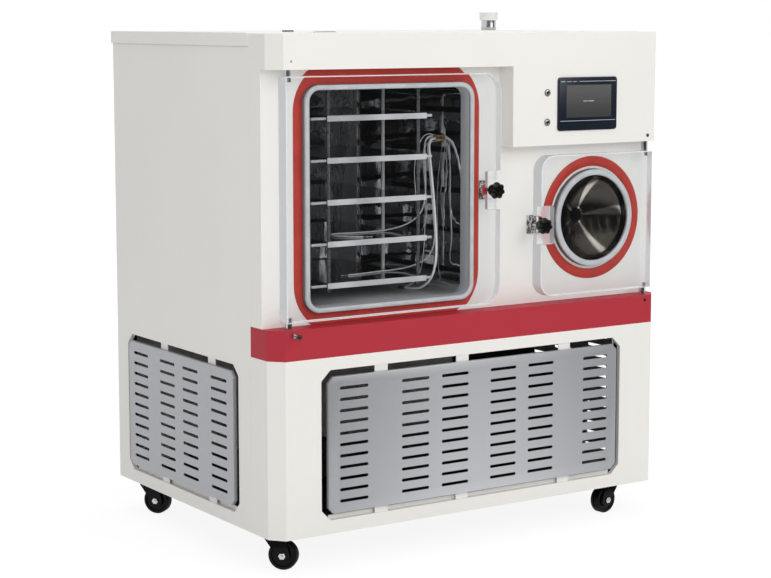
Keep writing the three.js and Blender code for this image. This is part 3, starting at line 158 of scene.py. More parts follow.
class Value:
    """A shader output that takes part in Python arithmetic."""

    __add__ = __radd__ = maths("ADD", "Add.")
    __sub__ = maths("SUBTRACT", "Subtract.")
    __rsub__ = maths("SUBTRACT", "Subtract from a number.", swapped=True)
    __mul__ = __rmul__ = maths("MULTIPLY", "Multiply.")
    sine = maths("SINE", "Return the sine.")
    size = maths("ABSOLUTE", "Return the value without its sign.")
    larger = maths("MAXIMUM", "Return the larger of the two.")
    smaller = maths("MINIMUM", "Return the smaller of the two.")
    angle = maths("ARCTAN2", "Return the angle of the point this high and so far across.")

    def __init__(self, graph: Nodes, socket: bpy.types.NodeSocket) -> None:
        """Wrap an output socket of the graph."""
        self.graph = graph
        self.socket = socket

    def ramp(self, low: float, high: float) -> Value:
        """Rise smoothly from 0 at low to 1 at high."""
        made = self.graph.node(
            "ShaderNodeMapRange",
            {"interpolation_type": "SMOOTHSTEP"},
            {"Value": self, "From Min": low, "From Max": high},
        )
        return Value(self.graph, made.outputs["Result"])


class Nodes:
    """A node tree of any kind, with one way to add a node."""

    def __init__(self, tree: bpy.types.NodeTree) -> None:
        """Work in a tree."""
        self.tree = tree

    def plug(self, socket: bpy.types.NodeSocket, value: Any) -> None:
        """Link a value or an output into a socket, or set the socket to a constant."""
        if isinstance(value, Value):
            value = value.socket
        if isinstance(value, bpy.types.NodeSocket):
            self.tree.links.new(value, socket)
        else:
            socket.default_value = value

    def node(
        self,
        kind: str,
        settings: dict[str, Any] | None = None,
        inputs: dict[str | int, Any] | None = None,
    ) -> bpy.types.Node:
        """Add any node.

        Args:
            kind: The node's type.
            settings: Its own settings, set before its sockets.
            inputs: Values or links for its sockets, by name or by number.

        Returns:
            The new node.
        """
        made = self.tree.nodes.new(kind)
        for key, value in (settings or {}).items():
            setattr(made, key, value)
        for key, value in (inputs or {}).items():
            self.plug(made.inputs[key], value)
        return made

    def split(self, vector: bpy.types.NodeSocket) -> tuple[Value, ...]:
        """Return a vector's three parts."""
        parts = self.node("ShaderNodeSeparateXYZ", inputs={"Vector": vector})
        return tuple(Value(self, parts.outputs[axis]) for axis in "XYZ")

    def blend(self, mask: Value, first: Any, second: Any) -> bpy.types.NodeSocket:
        """Mix two colours by a mask and return the colour."""
        made = self.node("ShaderNodeMix", {"data_type": "RGBA"}, {0: mask, 6: first, 7: second})
        return made.outputs[2]

    def paths(self) -> tuple[Value, Value]:
        """Read the light's path.

        Returns:
            One for what the camera sees, itself or in gloss or through glass, and one for what
            it sees in gloss alone.
        """
        path = self.node("ShaderNodeLightPath")
        camera, gloss, glass, bounces = (
            Value(self, path.outputs[name])
            for name in ("Is Camera Ray", "Is Glossy Ray", "Is Transmission Ray", "Glossy Depth")
        )
        return camera.larger(gloss).larger(glass), bounces.smaller(1.0)

    def mixed(self, mask: Value, first: Any, second: Any) -> bpy.types.NodeSocket:
        """Mix two shaders by a mask."""
        return self.node("ShaderNodeMixShader", inputs={0: mask, 1: first, 2: second}).outputs[0]


class Graph(Nodes):
    """The node tree of one material, with a Principled surface to set."""

    def __init__(self, name: str) -> None:
        """Make the material and find its surface and output nodes."""
        self.material = bpy.data.materials.new(name)
        self.material.use_nodes = True
        super().__init__(self.material.node_tree)
        self.surface = self.tree.nodes["Principled BSDF"]
        self.output = self.tree.nodes["Material Output"]

    def set(self, **sockets: Any) -> None:
        """Set or link sockets of the Principled surface, with _ for each space in a name."""
        for key, value in sockets.items():
            self.plug(self.surface.inputs[key.replace("_", " ")], value)

    def place(self) -> bpy.types.NodeSocket:
        """Return the point on the object, in metres."""
        return self.node("ShaderNodeTexCoord").outputs["Object"]

    def noise(self, scale: float, detail: float = 2.0, stretch: Triple = (1, 1, 1)) -> Value:
        """Add noise of so many spots a metre.

        Args:
            scale: Spots a metre.
            detail: Finer layers over it.
            stretch: Density along each axis, so that a small number draws the spots out.

        Returns:
            The noise, about 0.5 in the middle.
        """
        mapped = self.node("ShaderNodeMapping", inputs={"Vector": self.place(), "Scale": stretch})
        made = self.node(
            "ShaderNodeTexNoise",
            inputs={"Vector": mapped.outputs[0], "Scale": scale, "Detail": detail},
        )
        return Value(self, made.outputs[0])

    def bump(self, height: Value, distance: float, strength: float) -> None:
        """Feed a height into the surface's normal through a Bump node."""
        made = self.node(
            "ShaderNodeBump",
            inputs={"Height": height, "Distance": distance, "Strength": strength},
        )
        self.set(Normal=made.outputs[0])


# ------------------------------------------------------------------ finishes


@dataclass(frozen=True)
class Finish:
    """A finish, under the name of its material."""

    name: str

    def material(self) -> bpy.types.Material:
        """Build the material."""
        graph = Graph(self.name)
        self.paint(graph)
        return graph.material

    def paint(self, graph: Graph) -> None:
        """Set the material's surface."""
        raise NotImplementedError


@dataclass(frozen=True)
class PowderCoat(Finish):
    """Powder-coated sheet steel: an even colour with a fine orange peel."""

    colour: Colour
    roughness: float = 0.4
    sheen: float = 0.4
    peel: float = 0.12

    def paint(self, graph: Graph) -> None:
        """Set the material's surface."""
        cloud = graph.noise(2.3, 3)
        graph.set(
            Base_Color=graph.blend(cloud.ramp(0.3, 0.7), shaded(self.colour, 0.975), self.colour),
            Roughness=graph.noise(30, 3) * 0.12 + (self.roughness - 0.06),
            Specular_IOR_Level=self.sheen,
        )
        graph.bump(graph.noise(420, 2), 0.0004, self.peel)


@dataclass(frozen=True)
class SatinSheet(Finish):
    """Grey metallic sheet with a soft sheen, by chance or brightest at the machine's middle."""

    light: Colour
    dark: Colour
    metallic: float = 0.55
    roughness: float = 0.45
    reach: float = 0.0

    def paint(self, graph: Graph) -> None:
        """Set the material's surface."""
        sheen = graph.noise(1.1, 1, (1.0, 1.0, 1.6)).ramp(0.35, 0.65)
        speck = graph.noise(900, 1)
        # Painted highlight: with a reach, the colour is painted brightest at the middle and darker
        # towards the sides.
        if self.reach:
            across, _, _ = graph.split(graph.place())
            sheen = 1.0 - across.size().ramp(0.05, self.reach)
        tone = graph.blend(sheen, self.dark, self.light)
        graph.set(
            Base_Color=graph.blend(speck.ramp(0.35, 0.75) * 0.25, tone, shaded(self.light, 1.12)),
            Metallic=self.metallic,
            Roughness=graph.noise(60, 2) * 0.1 + (self.roughness - 0.05),
        )
        graph.bump(speck, 0.0001, 0.15)


@dataclass(frozen=True)
class BrushedMetal(Finish):
    """Metal with fine marks drawn out along one direction."""

    colour: Colour
    roughness: float = 0.3
    grain: Triple = (0.02, 1.0, 1.0)
    depth: float = 0.2
    metallic: float = 1.0

    def paint(self, graph: Graph) -> None:
        """Set the material's surface."""
        marks = graph.noise(1400, 3, self.grain)
        smear = graph.noise(9, 2)
        graph.set(
            Base_Color=graph.blend(marks.ramp(0.3, 0.7), shaded(self.colour, 0.8), self.colour),
            Metallic=self.metallic,
            Roughness=marks * 0.12 + smear * 0.1 + (self.roughness - 0.1),
        )
        graph.bump(marks, 0.0001, self.depth)


@dataclass(frozen=True)
class MirrorMetal(Finish):
    """Polished steel whose slightly wavy surface bends what it reflects."""

    bright: Colour
    dull: Colour
    roughness: float = 0.06
    wave: float = 0.25
    swell: float = 17.0
    cloud: float = 14.0

    def paint(self, graph: Graph) -> None:
        """Set the material's surface."""
        haze = graph.noise(self.cloud, 4, (1, 1, 0.45))
        graph.set(
            Base_Color=graph.blend(haze.ramp(0.35, 0.68), self.dull, self.bright),
            Metallic=0.8,
            Roughness=haze * 0.05 + self.roughness,
        )
        graph.bump(graph.noise(self.swell, 1), 0.01, self.wave)


@dataclass(frozen=True)
class SpunSteel(Finish):
    """A spun dish: dark polished steel with bright streaks drawn out from its centre."""

    bright: Colour
    dull: Colour
    centre: Vector
    roughness: float = 0.16
    broad: int = 5
    fine: int = 11
    fine_share: float = 0.6
    turned_by: float = 1.2
    edges: Pair = (0.6, 1.4)

    def paint(self, graph: Graph) -> None:
        """Set the material's surface."""
        x, _, z = graph.split(graph.place())
        turn = (z - self.centre.z).angle(x - self.centre.x)
        # Painted highlights: bright streaks at set angles round the dish's centre.
        painted_streaks = (turn * self.broad + self.turned_by).sine()
        painted_streaks += (turn * self.fine).sine() * self.fine_share
        haze = graph.noise(14, 4)
        graph.set(
            Base_Color=graph.blend(painted_streaks.ramp(*self.edges), self.dull, self.bright),
            Metallic=1.0,
            Roughness=haze * 0.1 + (self.roughness - 0.05),
        )
        graph.bump(graph.noise(17, 1), 0.01, 0.12)


@dataclass(frozen=True)
class VesselSteel(Finish):
    """The shelf chamber's inside: mirror walls over a floor that is brushed and duller."""

    wall: Colour
    floor: Colour
    level: float
    middle: float

    def paint(self, graph: Graph) -> None:
        """Set the material's surface."""
        across, _, height = graph.split(graph.place())
        haze = graph.noise(11, 4, (1, 1, 0.4))
        down = 1.0 - height.ramp(self.level + 0.004, self.level + 0.03)
        # Painted light and shade: the floor is painted brightest along the middle and darker
        # towards the walls.
        bright = 1.0 - (across - self.middle).size().ramp(0.02, 0.24)
        wall = graph.blend(haze.ramp(0.35, 0.7), shaded(self.wall, 0.88), self.wall)
        floor = graph.blend(bright, shaded(self.floor, 0.42), self.floor)
        graph.set(
            Base_Color=graph.blend(down, wall, floor),
            Metallic=1.0 - down * 0.6,
            Roughness=haze * 0.03 + down * 0.3 + 0.01,
        )
        graph.bump(graph.noise(9, 3, (1, 1, 0.5)), 0.01, 0.2)


@dataclass(frozen=True)
class ShelfAlloy(Finish):
    """A shelf with a satin front bar, and plates polished by the trays that slide on them."""

    bar: Colour
    plate: Colour
    front: float
    middle: float
    half: float = 0.1602

    def paint(self, graph: Graph) -> None:
        """Set the material's surface."""
        across, back, _ = graph.split(graph.place())
        beside = (across - self.middle).size().ramp(self.half, self.half + 0.0004)
        behind = back.ramp(self.front + 0.0004, self.front + 0.0012) * (1.0 - beside)
        # Painted sheen: the bar's colour runs between a bright and a darker copy along its length.
        sheen = graph.noise(7, 1, (1, 0, 0.2)).ramp(0.3, 0.7)
        marks = graph.noise(900, 2, (0.03, 1, 1))
        bar = graph.blend(sheen, shaded(self.bar, 0.62), self.bar)
        graph.set(
            Base_Color=graph.blend(behind, bar, self.plate),
            Metallic=behind * 0.65 + 0.35,
            Roughness=marks * 0.06 + 0.37 - behind * 0.28,
        )
        graph.bump(marks, 0.0001, 0.1)


@dataclass(frozen=True)
class Moulding(Finish):
    """Moulded plastic or rubber with a fine surface grain."""

    colour: Colour
    roughness: float = 0.4
    grain: float = 0.1
    sheen: float = 0.5

    def paint(self, graph: Graph) -> None:
        """Set the material's surface."""
        pores = graph.noise(650, 3)
        graph.set(
            Base_Color=graph.blend(
                graph.noise(22, 2).ramp(0.3, 0.7), shaded(self.colour, 0.86), self.colour
            ),
            Roughness=pores * 0.14 + (self.roughness - 0.07),
            Specular_IOR_Level=self.sheen,
        )
        graph.bump(pores, 0.0003, self.grain)


@dataclass(frozen=True)
class ClearPlastic(Finish):
    """Cast acrylic, polished or frosted, that lets lamp light through to what is behind it."""

    tint: Colour = (0.975, 0.985, 0.99, 1.0)
    roughness: float = 0.0
    milled: bool = False
    milk: float = 0.0

    def paint(self, graph: Graph) -> None:
        """Set the material's surface."""
        graph.set(
            Base_Color=self.tint,
            Roughness=self.roughness,
            IOR=1.49,
            Transmission_Weight=1.0 - self.milk,
        )
        if self.milled:
            graph.bump(graph.noise(900, 2), 0.0003, 0.5)
        path = graph.node("ShaderNodeLightPath")
        unseen = Value(graph, path.outputs["Is Shadow Ray"]).larger(
            Value(graph, path.outputs["Is Diffuse Ray"])
        )
        clear = graph.node("ShaderNodeBsdfTransparent", inputs={"Color": self.tint})
        mixed = graph.mixed(unseen, graph.surface.outputs[0], clear.outputs[0])
        graph.plug(graph.output.inputs["Surface"], mixed)


@dataclass(frozen=True)
class BraidedSheath(Finish):
    """Woven cable sheath whose strands cross along the cable's own length."""

    colour: Colour
    strands: int = 6
    lay: float = 500.0

    def paint(self, graph: Graph) -> None:
        """Set the material's surface."""
        around, along, _ = graph.split(graph.node("ShaderNodeTexCoord").outputs["UV"])
        turn = around * (math.tau * self.strands)
        run = along * self.lay
        weave = (turn + run).sine() * (turn - run).sine()
        graph.set(
            Base_Color=graph.blend(weave.ramp(-0.6, 0.5), shaded(self.colour, 0.78), self.colour),
            Metallic=0.1,
            Roughness=0.38 + weave * 0.08,
        )
        graph.bump(weave, 0.0004, 0.6)


@dataclass(frozen=True)
class LitDisplay(Finish):
    """The touch panel's screen: dark grey, a little lighter towards its top."""

    low: Colour
    high: Colour
    bottom: float
    top: float

    def paint(self, graph: Graph) -> None:
        """Set the material's surface."""
        _, _, height = graph.split(graph.place())
        tone = graph.blend(height.ramp(self.bottom, self.top), self.low, self.high)
        graph.set(
            Base_Color=tone,
            Roughness=0.16 + graph.noise(40, 2) * 0.06,
            Emission_Color=tone,
            Emission_Strength=0.25,
            Coat_Weight=0.3,
        )


class Palette:
    """Every finish of the machine, built once."""

    def __init__(self) -> None:
        """Build the materials."""
        cream = linear(240, 238, 233)
        self.cream = PowderCoat("cream_powder_coat", cream).material()
        self.crimson = PowderCoat("crimson_powder_coat", linear(180, 52, 64), 0.5, 0.16).material()
        self.black_frame = PowderCoat("black_frame_coat", linear(30, 30, 32), 0.5).material()
        self.deck = SatinSheet("zinc_deck", linear(120, 122, 126), linear(98, 100, 104)).material()
        # The trays carry a painted highlight, brightest at the machine's middle.
        self.tray = SatinSheet(
            "silver_tray_coat_painted_sheen", linear(198, 200, 204), linear(168, 169, 173), reach=0.55
        ).material()
        self.trim = Moulding("red_silicone_sheet", linear(196, 54, 42), 0.5, 0.06).material()
        self.seal = Moulding("grey_silicone_seal", linear(208, 210, 212), 0.35, 0.05).material()
        self.mouth = SatinSheet(
            "ground_steel_mouth", linear(202, 203, 206), linear(178, 179, 183), 0.2, 0.42
        ).material()
        self.lip = BrushedMetal("ground_steel_lip", linear(190, 193, 198), 0.36).material()
        low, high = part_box("chamber_shell")
        self.vessel = VesselSteel(
            "polished_vessel",
            linear(226, 227, 229),
            linear(238, 239, 240),
            low.z + 0.015,
            (low.x + high.x) / 2,
        ).material()
        pot_low, pot_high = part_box("condenser_pot")
        # The dish carries painted bright streaks in place of reflected highlights.
        self.pot = SpunSteel(
            "spun_dish_painted_streaks",
            linear(212, 205, 195),
            linear(80, 76, 71),
            (pot_low + pot_high) / 2,
        ).material()
        self.shelf = ShelfAlloy(
            "shelf_alloy",
            linear(240, 241, 242),
            linear(128, 129, 132),
            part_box("shelf_1")[0].y,
            (low.x + high.x) / 2,
        ).material()
        # Painted light and shade: the back rods are painted near white as if lit, and the front
        # rods dark as if shaded; all four are the same steel.
        self.rod = BrushedMetal(
            "back_rod_painted_light", linear(250, 250, 250), 0.3, (1.0, 1.0, 0.05), 0.05, 0.15
        ).material()
        self.painted_shade_rod = BrushedMetal(
            "front_rod_painted_shade", linear(150, 151, 153), 0.25, (1.0, 1.0, 0.05), 0.05, 0.75
        ).material()
        self.steel = BrushedMetal(
            "turned_steel", linear(206, 207, 209), 0.2, (1.0, 1.0, 0.05), 0.1
        ).material()
        self.bracket = MirrorMetal(
            "hammered_bracket", linear(250, 250, 250), linear(70, 70, 72), 0.2, 1.0, 180, 160
        ).material()
        self.zinc = BrushedMetal("zinc_nut", linear(214, 214, 212), 0.24, (1, 1, 1)).material()
        self.brass = BrushedMetal("plated_brass", linear(196, 176, 132), 0.28, (1, 1, 1)).material()
        self.fins = BrushedMetal("fin_alloy", linear(92, 93, 95), 0.5).material()
        self.clear = ClearPlastic("cast_acrylic").material()
        self.frosted = ClearPlastic(
            "milled_acrylic", (0.93, 0.94, 0.95, 1.0), 0.34, True, 0.45
        ).material()
        self.sawn = ClearPlastic(
            "sawn_acrylic", (0.9, 0.93, 0.96, 1.0), 0.2, False, 0.75
        ).material()
        self.knob = Moulding("black_knob_plastic", linear(10, 10, 11), 0.26, 0.04, 0.25).material()
        self.caster = Moulding("black_caster_shell", linear(5, 5, 6), 0.22, 0.05, 0.14).material()
        self.tyre = Moulding("black_tyre", linear(9, 9, 10), 0.5, 0.3, 0.14).material()
        self.white = Moulding("white_cap_plastic", linear(243, 242, 240), 0.42, 0.05).material()
        self.bezel = Moulding("navy_bezel", linear(22, 31, 44), 0.28, 0.05).material()
        self.mark = Moulding("pale_panel_print", linear(176, 186, 196), 0.4, 0.02).material()
        self.lead = BraidedSheath("braided_lead", linear(250, 250, 251)).material()
        self.wire = Moulding("white_wire", linear(250, 250, 249), 0.4, 0.02).material()
        self.socket = Moulding("black_screw_finish", linear(20, 20, 22), 0.35, 0.1).material()


# ------------------------------------------------------------------ mesh tools


def placed(name: str, data: bpy.types.ID) -> bpy.types.Object:
    """Put data into the scene as an object."""
    made = bpy.data.objects.new(name, data)
    bpy.context.scene.collection.objects.link(made)
    return made


def mesh_of(name: str, points: Sequence[Any], faces: Sequence[Any] = ()) -> bpy.types.Mesh:
    """Make a mesh from points and faces."""
    mesh = bpy.data.meshes.new(name)
    mesh.from_pydata(points, [], faces)
    return mesh


def front_of(node: str) -> tuple[Vector, Vector]:
    """Return the middle of a CAD node's front face, and the node's size."""
    low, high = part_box(node)
    return Vector(((low.x + high.x) / 2, low.y, (low.z + high.z) / 2)), high - low


def rounded(width: float, height: float, radii: Sequence[float], steps: int = 10) -> list[Pair]:
    """Outline a rectangle about its centre, with its own radius at each corner.

    Args:
        width: Full width.
        height: Full height.
        radii: Radii at the right bottom, right top, left top and left bottom.
        steps: Segments in each corner.

    Returns:
        Points anticlockwise from the right bottom corner.
    """
    outline = []
    signs = ((1, -1), (1, 1), (-1, 1), (-1, -1))
    for corner, (radius, (side, end)) in enumerate(zip(radii, signs)):
        radius = max(radius, 1e-5)
        for step in range(steps + 1):
            angle = (corner - 1 + step / steps) * math.pi / 2
            outline.append(
                (
                    side * (width / 2 - radius) + radius * math.cos(angle),
                    end * (height / 2 - radius) + radius * math.sin(angle),
                )
            )
    return outline


def octagon(width: float, height: float, corner: float, inset: float = 0.0) -> list[Pair]:
    """Outline a rectangle with its corners cut off at 45 degrees, moved in by an inset."""
    across, up = width / 2 - inset, height / 2 - inset
    cut = corner - inset * (2 - math.sqrt(2))
    return [
        (across - cut, -up),
        (across, cut - up),
        (across, up - cut),
        (across - cut, up),
        (cut - across, up),
        (-across, up - cut),
        (-across, cut - up),
        (cut - across, -up),
    ]


def circle(radius: float, sides: int) -> list[Pair]:
    """Outline a circle, anticlockwise."""
    return [
        (radius * math.cos(math.tau * step / sides), radius * math.sin(math.tau * step / sides))
        for step in range(sides)
    ]


class Facing(Enum):
    """The plane an outline is drawn in, as its two directions and the way its depth goes."""

    FRONT = (Vector((1, 0, 0)), Vector((0, 0, 1)), Vector((0, 1, 0)))
    LEFT = (Vector((0, -1, 0)), Vector((0, 0, 1)), Vector((1, 0, 0)))
    RIGHT = (Vector((0, 1, 0)), Vector((0, 0, 1)), Vector((-1, 0, 0)))
    BACK = (Vector((-1, 0, 0)), Vector((0, 0, 1)), Vector((0, -1, 0)))
    TOP = (Vector((1, 0, 0)), Vector((0, 1, 0)), Vector((0, 0, 1)))

    def ring(self, outline: Iterable[Pair], centre: Vector, depth: float) -> list[Vector]:
        """Place an outline at a depth behind a centre."""
        right, up, away = self.value
        return [centre + right * u + up * v + away * depth for u, v in outline]


@dataclass
class Shape:
    """A mesh that grows by closed parts, each with its own material slot."""

    points: list[Vector] = field(default_factory=list)
    faces: list[tuple[int, ...]] = field(default_factory=list)
    slots: list[int] = field(default_factory=list)

    def loft(
        self,
        rings: Sequence[Sequence[Vector]],
        slots: int | Sequence[int] = 0,
        looped: bool = False,
    ) -> Shape:
        """Skin rings of equal length, and close the ends or join the last to the first.

        Args:
            rings: The rings, in order.
            slots: One material slot, or one for each span between rings.
            looped: Join the last ring to the first, with no caps.

        Returns:
            The shape itself.
        """
        count, start = len(rings[0]), len(self.points)
        for ring in rings:
            self.points.extend(ring)
        spans = len(rings) if looped else len(rings) - 1
        per_span = [slots] * spans if isinstance(slots, int) else list(slots)
        for span in range(spans):
            near = start + span * count
            far = start + (span + 1) % len(rings) * count
            for step in range(count):
                after = (step + 1) % count
                self.faces.append((near + step, near + after, far + after, far + step))
                self.slots.append(per_span[span])
        if not looped:
            self.faces.append(tuple(range(start, start + count)))
            self.faces.append(tuple(start + (len(rings) - 1) * count + i for i in range(count)))
            self.slots.extend((per_span[0], per_span[-1]))
        return self

    def turned(
        self,
        profile: Sequence[Pair],
        centre: Vector,
        facing: Facing,
        sides: int = 32,
        slots: int | Sequence[int] = 0,
        looped: bool = False,
    ) -> Shape:
        """Turn a profile of (radius, depth) about an axis through a centre."""
        rings = [facing.ring(circle(radius, sides), centre, depth) for radius, depth in profile]
        return self.loft(rings, slots, looped)

    def join(self, other: Shape) -> Shape:
        """Take up another shape's parts."""
        start = len(self.points)
        self.points += other.points
        self.faces += [tuple(index + start for index in face) for face in other.faces]
        self.slots += other.slots
        return self

    def slab(self, low: Vector, high: Vector, edge: float = 0.0, slot: int = 0) -> Shape:
        """Add a box between two corners, with its edges eased where an edge size is given."""
        middle, size = (low + high) / 2, high - low
        radii = [max(edge, 1e-5)] * 4
        rings = []
        for inset, depth in ((edge, 0), (0, edge), (0, size.y - edge), (edge, size.y)):
            outline = rounded(size.x - 2 * inset, size.z - 2 * inset, radii, 2)
            rings.append(Facing.FRONT.ring(outline, Vector((middle.x, low.y, middle.z)), depth))
        return self.loft(rings[1:3] if edge == 0 else rings, slot)

    def moved(self, matrix: Matrix) -> Shape:
        """Move all points by a matrix."""
        self.points = [matrix @ point for point in self.points]
        return self

    def piece(
        self, name: str, materials: Sequence[bpy.types.Material], smooth: float = 40.0
    ) -> bpy.types.Object:
        """Make the object.

        Args:
            name: The piece's name.
            materials: One material for each slot.
            smooth: Edges sharper than this many degrees stay sharp.

        Returns:
            The object, at the origin, with its place in its mesh.
        """
        mesh = mesh_of(name, self.points, self.faces)
        for material in materials:
            mesh.materials.append(material)
        mesh.polygons.foreach_set("material_index", self.slots)
        tidy_mesh(mesh, smooth)
        return placed(name, mesh)


def tidy_mesh(mesh: bpy.types.Mesh, smooth: float) -> None:
    """Turn faces outwards and shade them smooth up to an edge angle in degrees."""
    work = bmesh.new()
    work.from_mesh(mesh)
    bmesh.ops.remove_doubles(work, verts=work.verts, dist=1e-6)
    bmesh.ops.recalc_face_normals(work, faces=work.faces)
    for face in work.faces:
        face.smooth = True
    for edge in work.edges:
        edge.smooth = edge.is_manifold and edge.calc_face_angle(0.0) < math.radians(smooth)
    work.to_mesh(mesh)
    work.free()


def settle(piece: bpy.types.Object) -> None:
    """Turn a piece's live modifiers into its plain mesh."""
    graph = bpy.context.evaluated_depsgraph_get()
    mesh = bpy.data.meshes.new_from_object(piece.evaluated_get(graph))
    piece.modifiers.clear()
    piece.data = mesh


def carve(piece: bpy.types.Object, cutters: Sequence[bpy.types.Object]) -> None:
    """Cut other closed shapes out of a piece and remove them."""
    for cutter in cutters:
        change = piece.modifiers.new("cut", "BOOLEAN")
        change.operation = "DIFFERENCE"
        change.solver = "EXACT"
        change.object = cutter
    settle(piece)
    for cutter in cutters:
        bpy.data.objects.remove(cutter)


class Pattern(Nodes):
    """A Geometry Nodes tree with named inputs, for what repeats."""

    def __init__(self, name: str) -> None:
        """Make the tree with its geometry input and output."""
        super().__init__(bpy.data.node_groups.new(name, "GeometryNodeTree"))
        self.tree.interface.new_socket("Seed", in_out="INPUT", socket_type="NodeSocketGeometry")
        self.tree.interface.new_socket("Made", in_out="OUTPUT", socket_type="NodeSocketGeometry")
        self.entry = self.tree.nodes.new("NodeGroupInput")
        self.exit = self.tree.nodes.new("NodeGroupOutput")

    def size(self, name: str, kind: str = "NodeSocketFloat") -> bpy.types.NodeSocket:
        """Add a named input and return its output inside the tree."""
        self.tree.interface.new_socket(name, in_out="INPUT", socket_type=kind)
        return self.entry.outputs[name]

    def spread(self, points: Any, piece: Any) -> bpy.types.NodeSocket:
        """Put a piece at each point."""
        inputs = {"Points": points, "Instance": piece}
        return self.node("GeometryNodeInstanceOnPoints", inputs=inputs).outputs[0]

    def shape(self, thing: bpy.types.NodeSocket) -> bpy.types.NodeSocket:
        """Return the geometry of an object that comes in by a named input."""
        return self.node("GeometryNodeObjectInfo", inputs={"Object": thing}).outputs["Geometry"]

    def line(self, count: Any, pitch: Any) -> bpy.types.NodeSocket:
        """Lay points in a row."""
        made = self.node("GeometryNodeMeshLine", inputs={"Count": count, "Offset": pitch})
        return made.outputs[0]

    def real(self, instances: bpy.types.NodeSocket) -> bpy.types.NodeSocket:
        """Turn instances into plain geometry."""
        return self.node("GeometryNodeRealizeInstances", inputs={0: instances}).outputs[0]

    def close(self, geometry: bpy.types.NodeSocket, material: bpy.types.NodeSocket) -> None:
        """End the tree in plain geometry that carries a material."""
        inputs = {"Geometry": self.real(geometry), "Material": material}
        dressed = self.node("GeometryNodeSetMaterial", inputs=inputs)
        self.tree.links.new(dressed.outputs[0], self.exit.inputs[0])

    def run(self, seed: bpy.types.Object, values: dict[str, Any]) -> None:
        """Run the tree on an object and keep its result as the object's mesh."""
        change = seed.modifiers.new(self.tree.name, "NODES")
        change.node_group = self.tree
        for item in self.tree.interface.items_tree:
            if item.item_type == "SOCKET" and item.in_out == "INPUT" and item.name in values:
                change[item.identifier] = values[item.name]
        settle(seed)


def perforation_pattern() -> Pattern:
    """Make the tree that cuts rows of slots, one column at each point of its seed."""
    pattern = Pattern("slot_rows")
    blank = pattern.size("Blank", "NodeSocketObject")
    slot = pattern.size("Slot", "NodeSocketObject")
    rows = pattern.size("Rows", "NodeSocketInt")
    pitch = pattern.size("Row Pitch", "NodeSocketVector")
    coat = pattern.size("Coat", "NodeSocketMaterial")
    grid = pattern.spread(pattern.entry.outputs[0], pattern.line(rows, pitch))
    cuts = pattern.real(pattern.spread(pattern.real(grid), pattern.shape(slot)))
    cut = pattern.node("GeometryNodeMeshBoolean", {"operation": "DIFFERENCE", "solver": "EXACT"})
    pattern.plug(cut.inputs["Mesh 1"], pattern.shape(blank))
    pattern.plug(cut.inputs["Mesh 2"], cuts)
    pattern.close(cut.outputs[0], coat)
    return pattern


def scatter_pattern() -> Pattern:
    """Make the tree that puts one fastener at each point of its seed."""
    pattern = Pattern("fasteners")
    fastener = pattern.size("Fastener", "NodeSocketObject")
    coat = pattern.size("Coat", "NodeSocketMaterial")
    pattern.close(pattern.spread(pattern.entry.outputs[0], pattern.shape(fastener)), coat)
    return pattern


def stack_pattern() -> Pattern:
    """Make the tree that repeats its seed in a row, such as the fins of a coil."""
    pattern = Pattern("fin_stack")
    count = pattern.size("Count", "NodeSocketInt")
    pitch = pattern.size("Pitch", "NodeSocketVector")
    coat = pattern.size("Coat", "NodeSocketMaterial")
    pattern.close(pattern.spread(pattern.line(count, pitch), pattern.entry.outputs[0]), coat)
    return pattern


# ------------------------------------------------------------------ the machine's frame


class Frame:
    """The packed model: where its parts are, and how pieces join its bodies."""

    def __init__(self) -> None:
        """Load the model and find the cabinet's own corner."""
        self.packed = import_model()
        self.bounds = [list(corner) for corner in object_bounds()]
        low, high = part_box("head_cover")
        self.corner = Vector((low.x, low.y, high.z))

    def at(self, across: float, back: float, down: float) -> Vector:
        """Turn millimetres from the left side, front face and top into a point."""
        return self.corner + Vector((across, back, -down)) * MM

    def joint(self, name: str) -> dict[str, Any]:
        """Return a joint of the model by name."""
        return next(joint for joint in self.packed["joints"] if joint["name"] == name)

    def dress(self, material: bpy.types.Material, *nodes: str) -> None:
        """Give CAD nodes a finish."""
        for name in nodes:
            mesh = self.packed["nodes"][name].data
            mesh.materials.clear()
            mesh.materials.append(material)
            log.info("%s: %s", name, material.name)

    def add(self, piece: bpy.types.Object, body: str, slot: str, *nodes: str) -> bpy.types.Object:
        """Put a finished piece on a body.

        Args:
            piece: The piece, in its place.
            body: The body it moves with.
            slot: The record's material slot it takes its finish from.
            nodes: The CAD nodes it stands for, if any.

        Returns:
            The piece.
        """
        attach(piece, body)
        if nodes:
            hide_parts(*nodes)
        log.info("%s: %d faces on %s", piece.name, len(piece.data.polygons), body)
        return piece


CABINET = "cabinet"


# ------------------------------------------------------------------ studio


